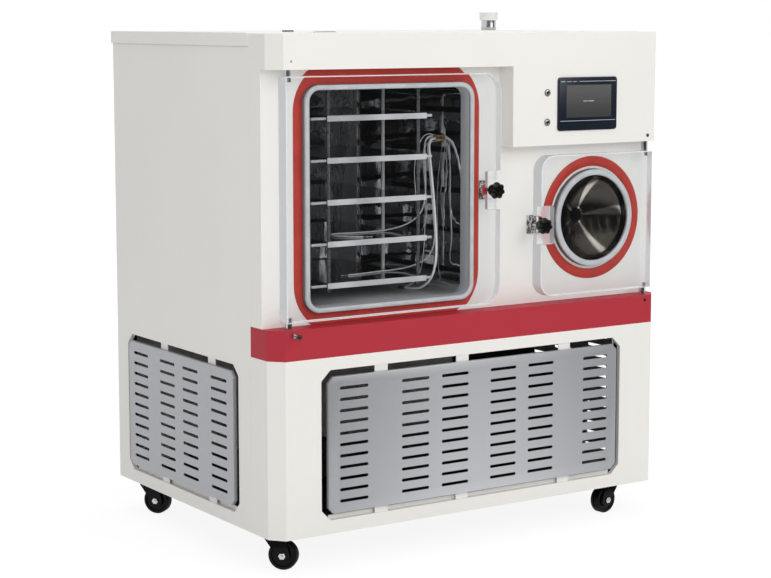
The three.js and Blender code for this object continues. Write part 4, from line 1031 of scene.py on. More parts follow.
@dataclass
class Studio:
    """Camera, lamps, world and floor."""

    eye: Triple = (-3.1529, -4.7459, 1.4569)
    heading: float = 33.44
    tilt: float = 7.21
    lens: float = 91.1
    shift: float = -0.03
    ambient: float = 0.5
    gloom: float = 0.05
    pair_at: float = 0.5
    strips: float = 21.0
    backdrop: float = 0.9
    shadow: float = 0.15
    lamps: tuple[tuple[str, Triple, Triple, float, float, bool], ...] = (
        ("key", (1.6, -4.6, 3.4), (0.1, 0.0, 0.7), 3.0, 75.0, True),
        ("fill", (-4.6, -1.4, 2.2), (0.0, 0.0, 0.7), 3.0, 22.0, False),
        ("top", (0.0, 0.2, 4.4), (0.0, 0.0, 1.0), 3.0, 40.0, True),
        ("front", (-1.6, -4.8, 2.2), (-0.1, -0.2, 0.9), 2.0, 42.0, False),
    )
    floor_half: float = 40.0

    def place_camera(self) -> None:
        """Stand the camera at the front left, a little above the cabinet's top."""
        data = bpy.data.cameras.new("camera")
        data.sensor_width = 36.0
        data.lens = self.lens
        data.shift_y = self.shift
        data.clip_end = 200.0
        camera = placed("camera", data)
        camera.location = self.eye
        camera.rotation_euler = (math.radians(90 - self.tilt), 0, math.radians(-self.heading))
        bpy.context.scene.camera = camera

    def lamp(
        self, name: str, place: Triple, aim: Triple, size: float, power: float, glossy: bool
    ) -> None:
        """Add a square soft lamp that faces a point.

        Args:
            name: Its name.
            place: Where it hangs.
            aim: The point it faces.
            size: Its side, in metres.
            power: Its power, in watts.
            glossy: Whether polished metal shows it.
        """
        data = bpy.data.lights.new(name, "AREA")
        data.shape = "SQUARE"
        data.size = size
        data.energy = power
        made = placed(name, data)
        made.location = place
        made.rotation_euler = (Vector(aim) - Vector(place)).to_track_quat("-Z", "Y").to_euler()
        made.visible_glossy = glossy
        made.visible_camera = made.visible_transmission = False

    def light(self) -> None:
        """Set the world and the lamps."""
        scene = bpy.context.scene
        scene.view_settings.view_transform = "Standard"
        world = bpy.data.worlds.new("studio")
        scene.world = world
        world.use_nodes = True
        world.node_tree.nodes.clear()
        sky = Nodes(world.node_tree)
        seen, gloss = sky.paths()
        soft = sky.node(
            "ShaderNodeBackground", inputs={"Color": self.grey(1.0), "Strength": self.ambient}
        )
        shown = sky.node(
            "ShaderNodeBackground",
            inputs={"Color": sky.blend(gloss, self.grey(1.0), self.room(sky)), "Strength": 1.0},
        )
        mix = sky.mixed(seen, soft.outputs[0], shown.outputs[0])
        sky.node("ShaderNodeOutputWorld", inputs={0: mix})
        for lamp in self.lamps:
            self.lamp(*lamp)

    @staticmethod
    def grey(level: float) -> Colour:
        """Return a grey."""
        return (level, level, level, 1.0)

    def room(self, sky: Nodes) -> bpy.types.NodeSocket:
        """Return what polished metal reflects: white all round, with a dark screen in front."""
        x, y, z = sky.split(sky.node("ShaderNodeTexCoord").outputs["Generated"])
        behind, above, beside = y.ramp(-0.25, 0.1), z.ramp(0.3, 0.7), x.size().ramp(0.84, 0.95)
        pair = 1.0 - (x.size() - self.pair_at).size().ramp(0.01, 0.035)
        bars = pair.larger((x * self.strips).sine().ramp(0.9, 0.97))
        light = behind.larger(above).larger(beside).larger(bars * z.ramp(-0.1, 0.15))
        return sky.blend(light, self.grey(self.gloom), self.grey(1.0))

    def lay_floor(self) -> None:
        """Lay a pale floor that shows as the background and keeps the shadow."""
        half = self.floor_half
        corners = [(-half, -half, 0), (half, -half, 0), (half, half, 0), (-half, half, 0)]
        floor = placed("floor", mesh_of("floor", corners, [(0, 1, 2, 3)]))
        graph = Graph("pale_floor")
        graph.set(Base_Color=self.grey(0.86), Roughness=0.9, Specular_IOR_Level=0.0)
        seen, gloss = graph.paths()
        x, y, _ = graph.split(graph.place())
        far = (x * x + y * y).ramp(4.0, 16.0)
        screened = gloss * (1.0 - y.ramp(-2.2, -1.2))
        tone = graph.blend(far, self.grey(self.backdrop), self.grey(1.0))
        glow = graph.node("ShaderNodeEmission", inputs={"Color": tone, "Strength": 1.0})
        gloomy = graph.node("ShaderNodeEmission", inputs={"Color": self.grey(self.gloom)})
        kept = graph.node("ShaderNodeBsdfDiffuse", inputs={"Color": self.grey(self.shadow)})
        lit = graph.node("ShaderNodeAddShader", inputs={0: kept.outputs[0], 1: glow.outputs[0]})
        view = graph.mixed(screened, lit.outputs[0], gloomy.outputs[0])
        graph.plug(
            graph.output.inputs["Surface"], graph.mixed(seen, graph.surface.outputs[0], view)
        )
        floor.data.materials.append(graph.material)
        floor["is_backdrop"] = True


# ------------------------------------------------------------------ probe leads


@dataclass
class Lead:
    """A probe lead: its route from the gland, in millimetres of the cabinet."""

    node: str
    radius: float
    points: list[Triple]
    tip_length: float = 24.0
    braided: bool = True
    steps: int = 5

    def curve(self, frame: Frame) -> list[Vector]:
        """Follow the route as a centripetal Catmull-Rom curve.

        Args:
            frame: The packed model.

        Returns:
            Points along the lead, in metres.
        """
        knots = [frame.at(*point) for point in self.points]
        knots = [knots[0] * 2 - knots[1], *knots, knots[-1] * 2 - knots[-2]]
        path = []
        for a, b, c, d in zip(knots, knots[1:], knots[2:], knots[3:]):
            spans = [math.sqrt((q - p).length) for p, q in ((a, b), (b, c), (c, d))]
            start = (b - a) / spans[0] - (c - a) / (spans[0] + spans[1]) + (c - b) / spans[1]
            end = (c - b) / spans[1] - (d - b) / (spans[1] + spans[2]) + (d - c) / spans[2]
            start, end = start * spans[1], end * spans[1]
            for step in range(self.steps):
                t = step / self.steps
                path.append(
                    b * (2 * t**3 - 3 * t**2 + 1)
                    + start * (t**3 - 2 * t**2 + t)
                    + c * (3 * t**2 - 2 * t**3)
                    + end * (t**3 - t**2)
                )
        path.append(knots[-2])
        return path

    def build(self, frame: Frame, palette: Palette) -> None:
        """Make the braided lead and the steel probe on its end."""
        path = self.curve(frame)
        lead = self.sleeve(path, palette)
        tip = self.probe(path, palette)
        length = sum((q - p).length for p, q in zip(path, path[1:]))
        frame.add(tip, CABINET, "stainless")
        frame.add(lead, CABINET, "cable_sheath", *[self.node] * self.braided)
        tuple(path[0])
        [tuple(point) for point in path]

    def frames(self, path: list[Vector]) -> list[tuple[Vector, Vector]]:
        """Return two directions across the path at each point, carried along without twist."""
        across = []
        side = None
        for index, point in enumerate(path):
            ahead = path[min(index + 1, len(path) - 1)] - path[max(index - 1, 0)]
            ahead.normalize()
            if side is None:
                side = ahead.orthogonal().normalized()
            side = (side - ahead * side.dot(ahead)).normalized()
            across.append((side, ahead.cross(side)))
        return across

    def sleeve(self, path: list[Vector], palette: Palette, sides: int = 12) -> bpy.types.Object:
        """Skin the path as a tube with its own UV map."""
        radius = self.radius * MM
        rings = [
            [point + side * u + up * v for u, v in circle(radius, sides)]
            for point, (side, up) in zip(path, self.frames(path))
        ]
        tube = Shape().loft(rings)
        made = tube.piece(self.node + "_sleeve", [palette.lead if self.braided else palette.wire])
        run = [0.0]
        for near, far in zip(path, path[1:]):
            run.append(run[-1] + (far - near).length)
        layer = made.data.uv_layers.new(name="UVMap")
        for face in made.data.polygons:
            steps = [made.data.loops[i].vertex_index for i in face.loop_indices]
            wraps = max(s % sides for s in steps) - min(s % sides for s in steps) > 1
            for loop, vertex in zip(face.loop_indices, steps):
                turn = vertex % sides
                turn += sides if wraps and turn == 0 and len(steps) == 4 else 0
                layer.data[loop].uv = (turn / sides, run[vertex // sides])
        return made

    def probe(self, path: list[Vector], palette: Palette) -> bpy.types.Object:
        """Turn the slim steel probe that the lead ends in."""
        ahead = (path[-1] - path[-2]).normalized()
        radius, length = self.radius * MM * 1.25, self.tip_length * MM
        profile = [(0.2, -0.1), (0.8, -0.08), (1, 0), (1, 0.86), (0.75, 0.96), (0.2, 1)]
        shape = Shape().turned(
            [(radius * r, length * h) for r, h in profile], Vector(), Facing.TOP, 12
        )
        turn = Vector((0, 0, 1)).rotation_difference(ahead).to_matrix().to_4x4()
        shape.moved(Matrix.Translation(path[-1]) @ turn)
        return shape.piece(self.node + "_tip", [palette.steel])


LEADS = (
    Lead(
        "upper_probe_lead",
        2.0,
        [
            (623.8, 201, 288), (610, 202, 290), (600, 202, 304), (598, 201, 340),
            (599, 199, 400), (598, 198, 445), (594, 200, 478), (583, 206, 506),
            (561, 224, 530), (532, 244, 544), (500, 254, 550), (464, 252, 551.2),
            (420, 250, 551.2), (375, 253, 551.2), (340, 257, 551.2), (316, 246, 551.2),
            (308, 222, 551.2), (316, 192, 551.2), (336, 166, 551.2), (362, 149, 551.2),
        ],
    ),
    Lead(
        "lower_probe_lead",
        2.0,
        [
            (623.8, 201, 298), (613, 200, 300), (606, 198, 315), (605, 193, 350),
            (606, 187, 400), (608, 180, 460), (610, 174, 520), (611, 171, 568),
            (608, 178, 604), (598, 193, 630), (577, 214, 648), (548, 231, 658),
            (518, 240, 662.2), (488, 242, 663.2), (455, 238, 663.2), (420, 229, 663.2),
            (385, 222, 663.2), (352, 220, 663.2),
        ],
    ),
    Lead(
        "braided_probe_lead",
        3.5,
        [
            (623.8, 190.5, 294), (611, 189, 297), (601, 184, 311), (595, 172, 342),
            (590, 156, 395), (587, 142, 455), (586, 132, 520), (586, 129, 550),
            (586, 127, 580), (585, 128, 628), (581, 137, 668), (573, 153, 694),
            (563, 175, 709), (553, 200, 713.2), (546, 224, 713.2),
        ],
    ),
    Lead(
        "short_fine_wire",
        1.0,
        [
            (623.8, 205.8, 293), (616, 208.5, 294), (609, 211, 301), (604.5, 214, 318),
            (603, 216, 338), (603.5, 217.5, 360), (605.5, 218.5, 385), (608.5, 219, 410),
            (611.5, 218.5, 435), (614, 217.5, 458), (615, 216, 480), (614, 214.5, 500),
            (611, 213.5, 518), (607, 213, 532), (602, 213, 543),
        ],
        12.0,
        False,
    ),
    Lead(
        "middle_fine_wire",
        1.0,
        [
            (623.8, 196.5, 284.5), (613, 203, 281.5), (604, 211, 286), (598, 219, 298),
            (591.5, 223, 313), (587, 226.5, 333), (584.5, 229, 356), (583.5, 231, 382),
            (584.5, 231.5, 410), (587, 231, 440), (590, 230, 472), (592.5, 229, 506),
            (594, 229, 542), (593.5, 230, 578), (592, 232, 612), (590, 234, 642),
        ],
        12.0,
        False,
    ),
    Lead(
        "long_fine_wire",
        1.0,
        [
            (623.8, 196.5, 302), (616.5, 201, 306), (613, 211, 309), (609, 219, 325),
            (609.5, 223.5, 346), (612.5, 226, 372), (615.5, 227.5, 402), (617.5, 228.5, 434),
            (618.5, 229, 468), (618.5, 229, 504), (618, 229, 540), (617, 229.5, 576),
            (615, 230.5, 610), (612, 232, 642), (606.5, 234.5, 670), (598, 238.5, 691),
            (585, 244, 706), (568, 250, 714), (552, 254, 715.4),
        ],
        12.0,
        False,
    ),
)


# ------------------------------------------------------------------ cabinet


@dataclass
class Covers:
    """The painted sheets, their screws and the small things on the lid."""

    screw_radius: float = 5.0
    screws: tuple[Pair, ...] = ((1254, 297), (1254, 779))
    plug: Pair = (55, 70)
    back_rows: int = 6
    back_inset: float = 22.0
    width: float = 1312.0
    sill_depths: Pair = (13.6, 15.2)
    sill_heights: Pair = (1286.0, 1273.5)
    clip: tuple[Triple, Triple] = ((268, 392, -2.2), (298, 407, -6))
    plate: tuple[Triple, Triple] = ((206, 130, -2.2), (272, 142, -5))
    front_span: Pair = (170.0, 1134.0)
    side_span: Pair = (220.0, 828.0)

    def build(self, frame: Frame, palette: Palette) -> None:
        """Dress the sheets and add what is fixed to them."""
        frame.dress(
            palette.cream, "head_cover", "recess_panel", "lower_front_panel", "left_side_panel",
            "right_side_panel", "back_panel", "lid",
        )
        frame.dress(palette.crimson, "red_band")
        frame.dress(palette.black_frame, "chassis", "compressor")
        frame.dress(palette.deck, "deck")
        self.front_screws(frame, palette)
        self.back_screws(frame, palette)
        self.lid_fittings(frame, palette)
        self.sills(frame, palette)

    def sills(self, frame: Frame, palette: Palette) -> None:
        """Add the upright cream flange behind the foot of each tray's opening."""
        low, high = self.sill_heights
        near, far = self.sill_depths
        left, right = self.front_span
        first, last = self.side_span
        for name, start, end in (
            ("front_sill", (left, near, low), (right, far, high)),
            ("left_sill", (near, first, low), (far, last, high)),
            ("right_sill", (self.width - far, first, low), (self.width - near, last, high)),
        ):
            sill = Shape().slab(frame.at(*start), frame.at(*end))
            frame.add(sill.piece(name, [palette.cream]), CABINET, "cream_paint")

    def screw(self, facing: Facing, palette: Palette) -> bpy.types.Object:
        """Turn one button-head socket screw about the origin."""
        r = self.screw_radius * MM
        profile = [
            (0.42 * r, 0.0), (0.42 * r, -0.12 * r), (0.48 * r, -0.5 * r), (0.78 * r, -0.42 * r),
            (r, -0.14 * r), (r, 0.02 * r),
        ]
        return Shape().turned(profile, Vector(), facing, 12).piece("screw_master", [palette.socket])

    def scatter(
        self,
        name: str,
        points: list[Vector],
        facing: Facing,
        material: bpy.types.Material,
        slot: str,
        frame: Frame,
        palette: Palette,
    ) -> None:
        """Put a screw at each point and add the group to the cabinet."""
        group = placed(name, mesh_of(name, points))
        master = self.screw(facing, palette)
        scatter_pattern().run(group, {"Fastener": master, "Coat": material})
        bpy.data.objects.remove(master)
        frame.add(group, CABINET, slot)

    def front_screws(self, frame: Frame, palette: Palette) -> None:
        """Add the black screws of the control box and the band, and the plug above the door."""
        for name, places, material, slot in (
            ("front_screws", self.screws, palette.socket, "dark_frame"),
            ("door_plug", (self.plug,), palette.cream, "cream_paint"),
        ):
            points = [frame.at(across, 0, down) for across, down in places]
            self.scatter(name, points, Facing.FRONT, material, slot, frame, palette)

    def back_screws(self, frame: Frame, palette: Palette) -> None:
        """Add the screws down both edges of the back panel."""
        low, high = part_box("back_panel")
        inset = self.back_inset * MM
        points = []
        for row in range(self.back_rows):
            height = low.z + inset + (high.z - low.z - 2 * inset) * row / (self.back_rows - 1)
            points += [Vector((x, high.y, height)) for x in (low.x + inset, high.x - inset)]
        points += [Vector((0.0, high.y, z)) for z in (low.z + inset, high.z - inset)]
        self.scatter("back_screws", points, Facing.BACK, palette.zinc, "dark_frame", frame, palette)

    def lid_fittings(self, frame: Frame, palette: Palette) -> None:
        """Add the small black clip and the thin plate that lie on the lid."""
        for name, (start, end), material, slot in (
            ("lid_clip", self.clip, palette.socket, "dark_frame"),
            ("lid_plate", self.plate, palette.cream, "cream_paint"),
        ):
            shape = Shape().slab(frame.at(*start), frame.at(*end), 0.001)
            frame.add(shape.piece(name, [material]), CABINET, slot)


@dataclass
class SlottedTray:
    """A folded octagonal tray with rows of round-ended slots."""

    node: str
    facing: Facing
    columns: tuple[float, ...]
    rows: int = 11
    pitch: float = 30.5
    slot_length: float = 90.0
    slot_height: float = 8.5
    corner: float = 16.0
    bend: float = 2.0
    sheet: float = 2.0

    def build(self, pattern: Pattern, frame: Frame, palette: Palette) -> None:
        """Fold the blank, cut its slots and hang it in place of its CAD node."""
        low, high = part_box(self.node)
        right, _, away = self.facing.value
        size = high - low
        wide, deep = abs(size.dot(right)), abs(size.dot(away))
        middle = (low + high) / 2
        face = middle - away * deep / 2
        blank = self.blank(face, wide, size.z, deep, palette)
        slot = self.slot(palette)
        name, pitch = self.node + "_sheet", self.pitch * MM
        foot = face + away * self.sheet * MM / 2 - Vector((0, 0, (self.rows - 1) / 2 * pitch))
        tray = placed(name, mesh_of(name, [foot + right * column * MM for column in self.columns]))
        values = {"Blank": blank, "Slot": slot, "Rows": self.rows, "Row Pitch": (0.0, 0.0, pitch)}
        pattern.run(tray, {**values, "Coat": palette.tray})
        for spare in (blank, slot):
            bpy.data.objects.remove(spare)
        tidy_mesh(tray.data, 35)
        frame.add(tray, CABINET, "grey_paint", self.node)

    def blank(
        self, face: Vector, wide: float, high: float, deep: float, palette: Palette
    ) -> bpy.types.Object:
        """Fold the tray before its slots are cut."""
        bend, sheet, corner = self.bend * MM, self.sheet * MM, self.corner * MM
        folds = (
            (bend, 0.0), (0.3 * bend, 0.3 * bend), (0.0, bend), (0.0, deep), (sheet, deep),
            (sheet, sheet),
        )
        rings = [
            self.facing.ring(octagon(wide, high, corner, inset), face, depth)
            for inset, depth in folds
        ]
        return Shape().loft(rings).piece("tray_blank", [palette.tray])

    def slot(self, palette: Palette) -> bpy.types.Object:
        """Make the punch for one slot about the origin."""
        radius = self.slot_height * MM / 2
        outline = rounded(self.slot_length * MM, 2 * radius, [radius * 0.999] * 4, 3)
        depth = self.sheet * MM * 2
        rings = [self.facing.ring(outline, Vector(), side * depth) for side in (-1, 1)]
        return Shape().loft(rings).piece("slot_punch", [palette.tray])


FRONT_COLUMNS = (-412.0, -214.24, -82.4, 82.4, 214.24, 412.0)
SIDE_COLUMNS = (-234.5, -69.2, 69.2, 234.5)
TRAYS = (
    SlottedTray("front_tray", Facing.FRONT, FRONT_COLUMNS),
    SlottedTray("left_tray", Facing.LEFT, SIDE_COLUMNS),
    SlottedTray("right_tray", Facing.RIGHT, SIDE_COLUMNS),
)


# ------------------------------------------------------------------ shelf chamber


@dataclass
class ShelfChamber:
    """The vessel, its seal and trim, and its shelves on their rods."""

    wall: float = 15.0
    corner: float = 30.0
    mouth: float = 42.0
    steps: int = 12

    def build(self, frame: Frame, palette: Palette) -> None:
        """Build the smooth vessel and seal, and dress the rest."""
        self.vessel(frame, palette)
        self.seal(frame, palette)
        frame.dress(palette.trim, "chamber_trim")
        frame.dress(palette.shelf, *[f"shelf_{number}" for number in range(1, 6)])
        # The front rods take the painted shade, the back rods the painted light.
        for material, end in ((palette.painted_shade_rod, "front"), (palette.rod, "back")):
            frame.dress(material, *[f"shelf_rod_{end}_{side}" for side in ("left", "right")])
        frame.dress(palette.brass, "probe_gland")

    def ring(self, centre: Vector, size: Vector, outset: float, depth: float) -> list[Vector]:
        """Outline the opening, moved out by an outset, at a depth behind the lip."""
        radius = max(self.corner + outset, 1.0) * MM
        outline = rounded(
            size.x + 2 * (outset - self.wall) * MM,
            size.z + 2 * (outset - self.wall) * MM,
            [radius] * 4,
            self.steps,
        )
        return Facing.FRONT.ring(outline, centre, depth)

    def vessel(self, frame: Frame, palette: Palette) -> None:
        """Skin the vessel: outer wall, eased lip, ground mouth and polished inside."""
        centre, size = front_of("chamber_shell")
        wall, mouth = self.wall * MM, self.mouth * MM
        inside = size.y - wall
        walls = [
            (self.wall, size.y), (self.wall, 0.002), (self.wall - 2, 0.0),
            (2, 0.0), (0, 0.002), (0, mouth), (0, inside - 0.012), (-4, inside - 0.003),
            (-12, inside),
        ]
        rings = [self.ring(centre, size, outset, depth) for outset, depth in walls]
        shape = Shape().loft(rings, [0, 1, 1, 1, 2, 3, 3, 3])
        shape.slots[-2:] = [0, 3]
        piece = shape.piece(
            "chamber_vessel", [palette.deck, palette.lip, palette.mouth, palette.vessel], 50
        )
        frame.add(piece, CABINET, "polished_steel", "chamber_shell")

    def seal(self, frame: Frame, palette: Palette) -> None:
        """Skin the grey seal with a rounded crown."""
        (centre, seal), (_, size) = front_of("chamber_seal"), front_of("chamber_shell")
        deep = seal.y
        crown = [
            (1.0, deep), (1.0, 0.5 * deep), (2.4, 0.16 * deep), (5.0, 0.0), (9.5, 0.0),
            (12.4, 0.16 * deep), (14.0, 0.5 * deep), (14.0, deep),
        ]
        rings = [self.ring(centre, size, outset, depth) for outset, depth in crown]
        piece = Shape().loft(rings, looped=True).piece("chamber_seal_bead", [palette.seal], 50)
        frame.add(piece, CABINET, "grey_seal", "chamber_seal")


# ------------------------------------------------------------------ condenser


@dataclass
class CondenserPot:
    """The round condenser pot with its seal and flat red trim."""

    wall: float = 18.0
    straight: float = 22.0
    apex: float = 80.0
    dish: float = 159.4
    drum: float = 98.0
    trim_bore: float = 148.5
    port: float = 17.0
    pipe_wall: float = 4.0
    dish_steps: int = 16
    sides: int = 96

    def build(self, frame: Frame, palette: Palette) -> None:
        """Turn the pot, the seal and the trim smooth."""
        self.pot(frame, palette)
        self.seal(frame, palette)
        self.trim(frame, palette)

    def pot(self, frame: Frame, palette: Palette) -> None:
        """Turn the pot with an eased lip, a dished floor and the pipe behind its port."""
        size = front_of("condenser_pot")[1]
        outer, reach = size.z / 2, size.y
        bore, deep, apex = outer - self.wall * MM, self.drum * MM, self.apex * MM
        port, pipe, dish = self.port * MM, (self.port + self.pipe_wall) * MM, self.dish * MM
        wide, narrow = math.asin(bore / dish), math.asin((port + 0.003) / dish)
        count = self.dish_steps
        floor = [wide + (narrow - wide) * step / count for step in range(1, count + 1)]
        profile = [
            (pipe, deep), (outer, deep), (outer, 0.003), (outer - 0.003, 0.0), (bore + 0.003, 0.0),
            (bore, 0.003), (bore, self.straight * MM),
            *[(dish * math.sin(a), apex - dish * (1 - math.cos(a))) for a in floor],
            (port, apex + 0.003), (port, reach), (pipe, reach),
        ]
        slots = [0, 0, 1, 1, 1, 2, *[2] * (count + 1), 3, 3, 3]
        materials = [palette.deck, palette.lip, palette.pot, palette.black_frame]
        names = ("condenser_pot", "condenser_vessel", "polished_steel")
        self.hoop(names, profile, materials, frame, slots)

    def hoop(
        self,
        names: tuple[str, str, str],
        profile: list[Pair],
        materials: list[bpy.types.Material],
        frame: Frame,
        slots: int | Sequence[int] = 0,
    ) -> None:
        """Turn a closed profile about a CAD node's axis, in place of the node.

        Args:
            names: The node, the new piece and the record's material slot.
            profile: Its radii and depths.
            materials: One material for each slot of the mesh.
            frame: The packed model.
            slots: The mesh's slot for each span of the profile.
        """
        node, name, slot = names
        centre, _ = front_of(node)
        shape = Shape().turned(profile, centre, Facing.FRONT, self.sides, slots, looped=True)
        frame.add(shape.piece(name, materials, 50), CABINET, slot, node)

    def seal(self, frame: Frame, palette: Palette) -> None:
        """Turn the seal with a rounded crown."""
        size = front_of("condenser_seal")[1]
        outer, deep = size.z / 2, size.y
        inner = outer - (self.wall - 2) * MM
        profile = [
            (inner, deep), (inner, 0.5 * deep), (inner + 0.002, 0.15 * deep),
            (inner + 0.005, 0.0), (outer - 0.005, 0.0), (outer - 0.002, 0.15 * deep),
            (outer, 0.5 * deep), (outer, deep),
        ]
        names = ("condenser_seal", "condenser_seal_bead", "grey_seal")
        self.hoop(names, profile, [palette.seal], frame)

    def trim(self, frame: Frame, palette: Palette) -> None:
        """Turn the flat red ring on the panel."""
        size = front_of("condenser_trim")[1]
        outer, inner, deep, edge = size.z / 2, self.trim_bore * MM, size.y, 0.0006
        profile = [
            (inner, deep), (inner, edge), (inner + edge, 0.0), (outer - edge, 0.0),
            (outer, edge), (outer, deep),
        ]
        names = ("condenser_trim", "condenser_trim_ring", "red_trim")
        self.hoop(names, profile, [palette.trim], frame)


# ------------------------------------------------------------------ doors


class Hinge(Enum):
    """The side a door hangs on, as the sign of the way to its free edge."""

    LEFT = 1
    RIGHT = -1


@dataclass
class ClearDoor:
    """A thick clear door with a milled pocket for its star knob."""

    node: str
    knob: str
    hinge: Hinge
    corner: float
    ease: float = 2.5
    pocket_width: float = 46.0
    pocket_height: float = 108.0
    pocket_depth: float = 20.0
    passage: float = 26.0
    pivot_inset: float = 16.0
    bore: float = 6.6
    bore_depth: float = 14.6

    def build(self, frame: Frame, palette: Palette) -> None:
        """Cast the slab, mill it and hang it in place of its CAD node."""
        low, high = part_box(self.node)
        side = self.hinge.value
        edge = high.x if side > 0 else low.x
        knob_low, knob_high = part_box(self.knob)
        knob = (knob_low + knob_high) / 2
        door = self.slab(palette)
        cutters = [
            self.pocket(edge, low.y, knob.z, palette),
            self.slot(edge, low, high, knob, palette),
            *[self.pivot(low, high, end, palette) for end in (low.z, high.z)],
        ]
        carve(door, cutters)
        tidy_mesh(door.data, 15)
        frame.add(door, self.node, "clear_acrylic", self.node)

    def slab(self, palette: Palette) -> bpy.types.Object:
        """Skin the slab with eased edges and two rounded corners."""
        front, size = front_of(self.node)
        ease, corner, square = self.ease * MM, self.corner * MM, 3 * MM
        right, left = (corner, square) if self.hinge is Hinge.LEFT else (square, corner)
        rings = []
        for inset, depth in (
            (ease, 0.0), (0.3 * ease, 0.3 * ease), (0.0, ease), (0.0, size.y - ease),
            (0.3 * ease, size.y - 0.3 * ease), (ease, size.y),
        ):
            radii = [radius - inset for radius in (right, right, left, left)]
            outline = rounded(size.x - 2 * inset, size.z - 2 * inset, radii, 12)
            rings.append(Facing.FRONT.ring(outline, front, depth))
        shape = Shape().loft(rings, 2)
        shape.slots[-2:] = [0, 0]
        return shape.piece(self.node + "_slab", [palette.clear, palette.frosted, palette.sawn])

    def pocket(
        self, edge: float, front: float, height: float, palette: Palette
    ) -> bpy.types.Object:
        """Make the frosted pocket's cutter."""
        side, width = self.hinge.value, self.pocket_width * MM
        half, deep, over = self.pocket_height * MM / 2, self.pocket_depth * MM, 0.004
        span = sorted((edge - side * width, edge + side * over))
        middle = Vector((sum(span) / 2, front - over, height))
        outline = rounded(span[1] - span[0], 2 * half, [0.006] * 4, 5)
        rings = [Facing.FRONT.ring(outline, middle, depth) for depth in (0.0, over + deep)]
        shape = Shape().loft(rings, 1)
        return shape.piece("pocket_cutter", [palette.clear, palette.frosted])

    def slot(
        self, edge: float, low: Vector, high: Vector, knob: Vector, palette: Palette
    ) -> bpy.types.Object:
        """Make the cutter of the slot that the knob passes through, open at the free edge."""
        side, radius, over = self.hinge.value, self.passage * MM, 0.004
        far = edge + side * over
        turns = [math.pi * (step / 24 - 0.5) for step in range(25)]
        arc = [(knob.x - side * radius * math.cos(a), knob.z + radius * math.sin(a)) for a in turns]
        outline = [*arc, (far, knob.z + radius), (far, knob.z - radius)]
        depth = high.y - low.y + 2 * over
        start = Vector((0, low.y - over, 0))
        rings = [Facing.FRONT.ring(outline, start, depth * end) for end in (0, 1)]
        return Shape().loft(rings).piece("slot_cutter", [palette.clear])

    def pivot(self, low: Vector, high: Vector, end: float, palette: Palette) -> bpy.types.Object:
        """Make the cutter of one blind bore for a pivot pin."""
        side = self.hinge.value
        hung = (low.x if side > 0 else high.x) + side * self.pivot_inset * MM
        deep = self.bore_depth * MM
        centre = Vector((hung, (low.y + high.y) / 2, end - deep))
        radius = self.bore * MM
        shape = Shape().turned([(radius, 0.0), (radius, 2 * deep)], centre, Facing.TOP, 24)
        return shape.piece("bore_cutter", [palette.clear])


DOORS = (
    ClearDoor("main_door", "main_star_knob", Hinge.LEFT, 55.0),
    ClearDoor("condenser_door", "condenser_star_knob", Hinge.RIGHT, 45.0),
)


@dataclass
class Latch:
    """Bracket, swing bolt and star knob of one door."""

    name: str
    lobes: int = 7
    wave: float = 0.1
    stations: int = 84

    def build(self, frame: Frame, palette: Palette) -> None:
        """Dress the steel parts and mould the knob."""
        frame.dress(palette.bracket, f"{self.name}_latch_bracket")
        frame.dress(palette.steel, f"{self.name}_swing_bolt")
        self.knob(frame, palette)

    def star(self, radius: float, wave: float) -> list[Pair]:
        """Outline a lobed head at its largest radius, or a circle where there is no wave."""
        outline = []
        for step in range(self.stations):
            angle = math.tau * step / self.stations
            lobe = 0.5 + 0.5 * math.cos(angle * self.lobes)
            reach = radius * (1 - 2 * wave * (1 - lobe**0.7))
            outline.append((reach * math.sin(angle), reach * math.cos(angle)))
        return outline

    def knob(self, frame: Frame, palette: Palette) -> None:
        """Mould the crowned head, its hub and the bore for the bolt."""
        node = f"{self.name}_star_knob"
        centre, size = front_of(node)
        radius, deep = size.z / 2 + 0.0008, size.y
        head, hub, bore = 0.02, 0.016, 0.0055
        crown = [
            (0.3, 0.0016), (0.52, 0.0), (0.78, 0.0006), (0.92, 0.0028), (0.985, 0.0062),
            (1.0, 0.01), (0.985, 0.0145), (0.93, 0.0182), (0.82, head),
        ]
        turns = [
            (hub, head + 0.0005), (hub, deep - 0.001), (hub - 0.001, deep), (bore, deep),
            (bore, 0.0095),
        ]
        outlines = [(self.star(radius * r, self.wave), d) for r, d in crown]
        outlines += [(self.star(r, 0.0), d) for r, d in turns]
        rings = [Facing.FRONT.ring(outline, centre, depth) for outline, depth in outlines]
        piece = Shape().loft(rings).piece(node + "_head", [palette.knob], 50)
        frame.add(piece, node, "black_plastic", node)


# ------------------------------------------------------------------ controls


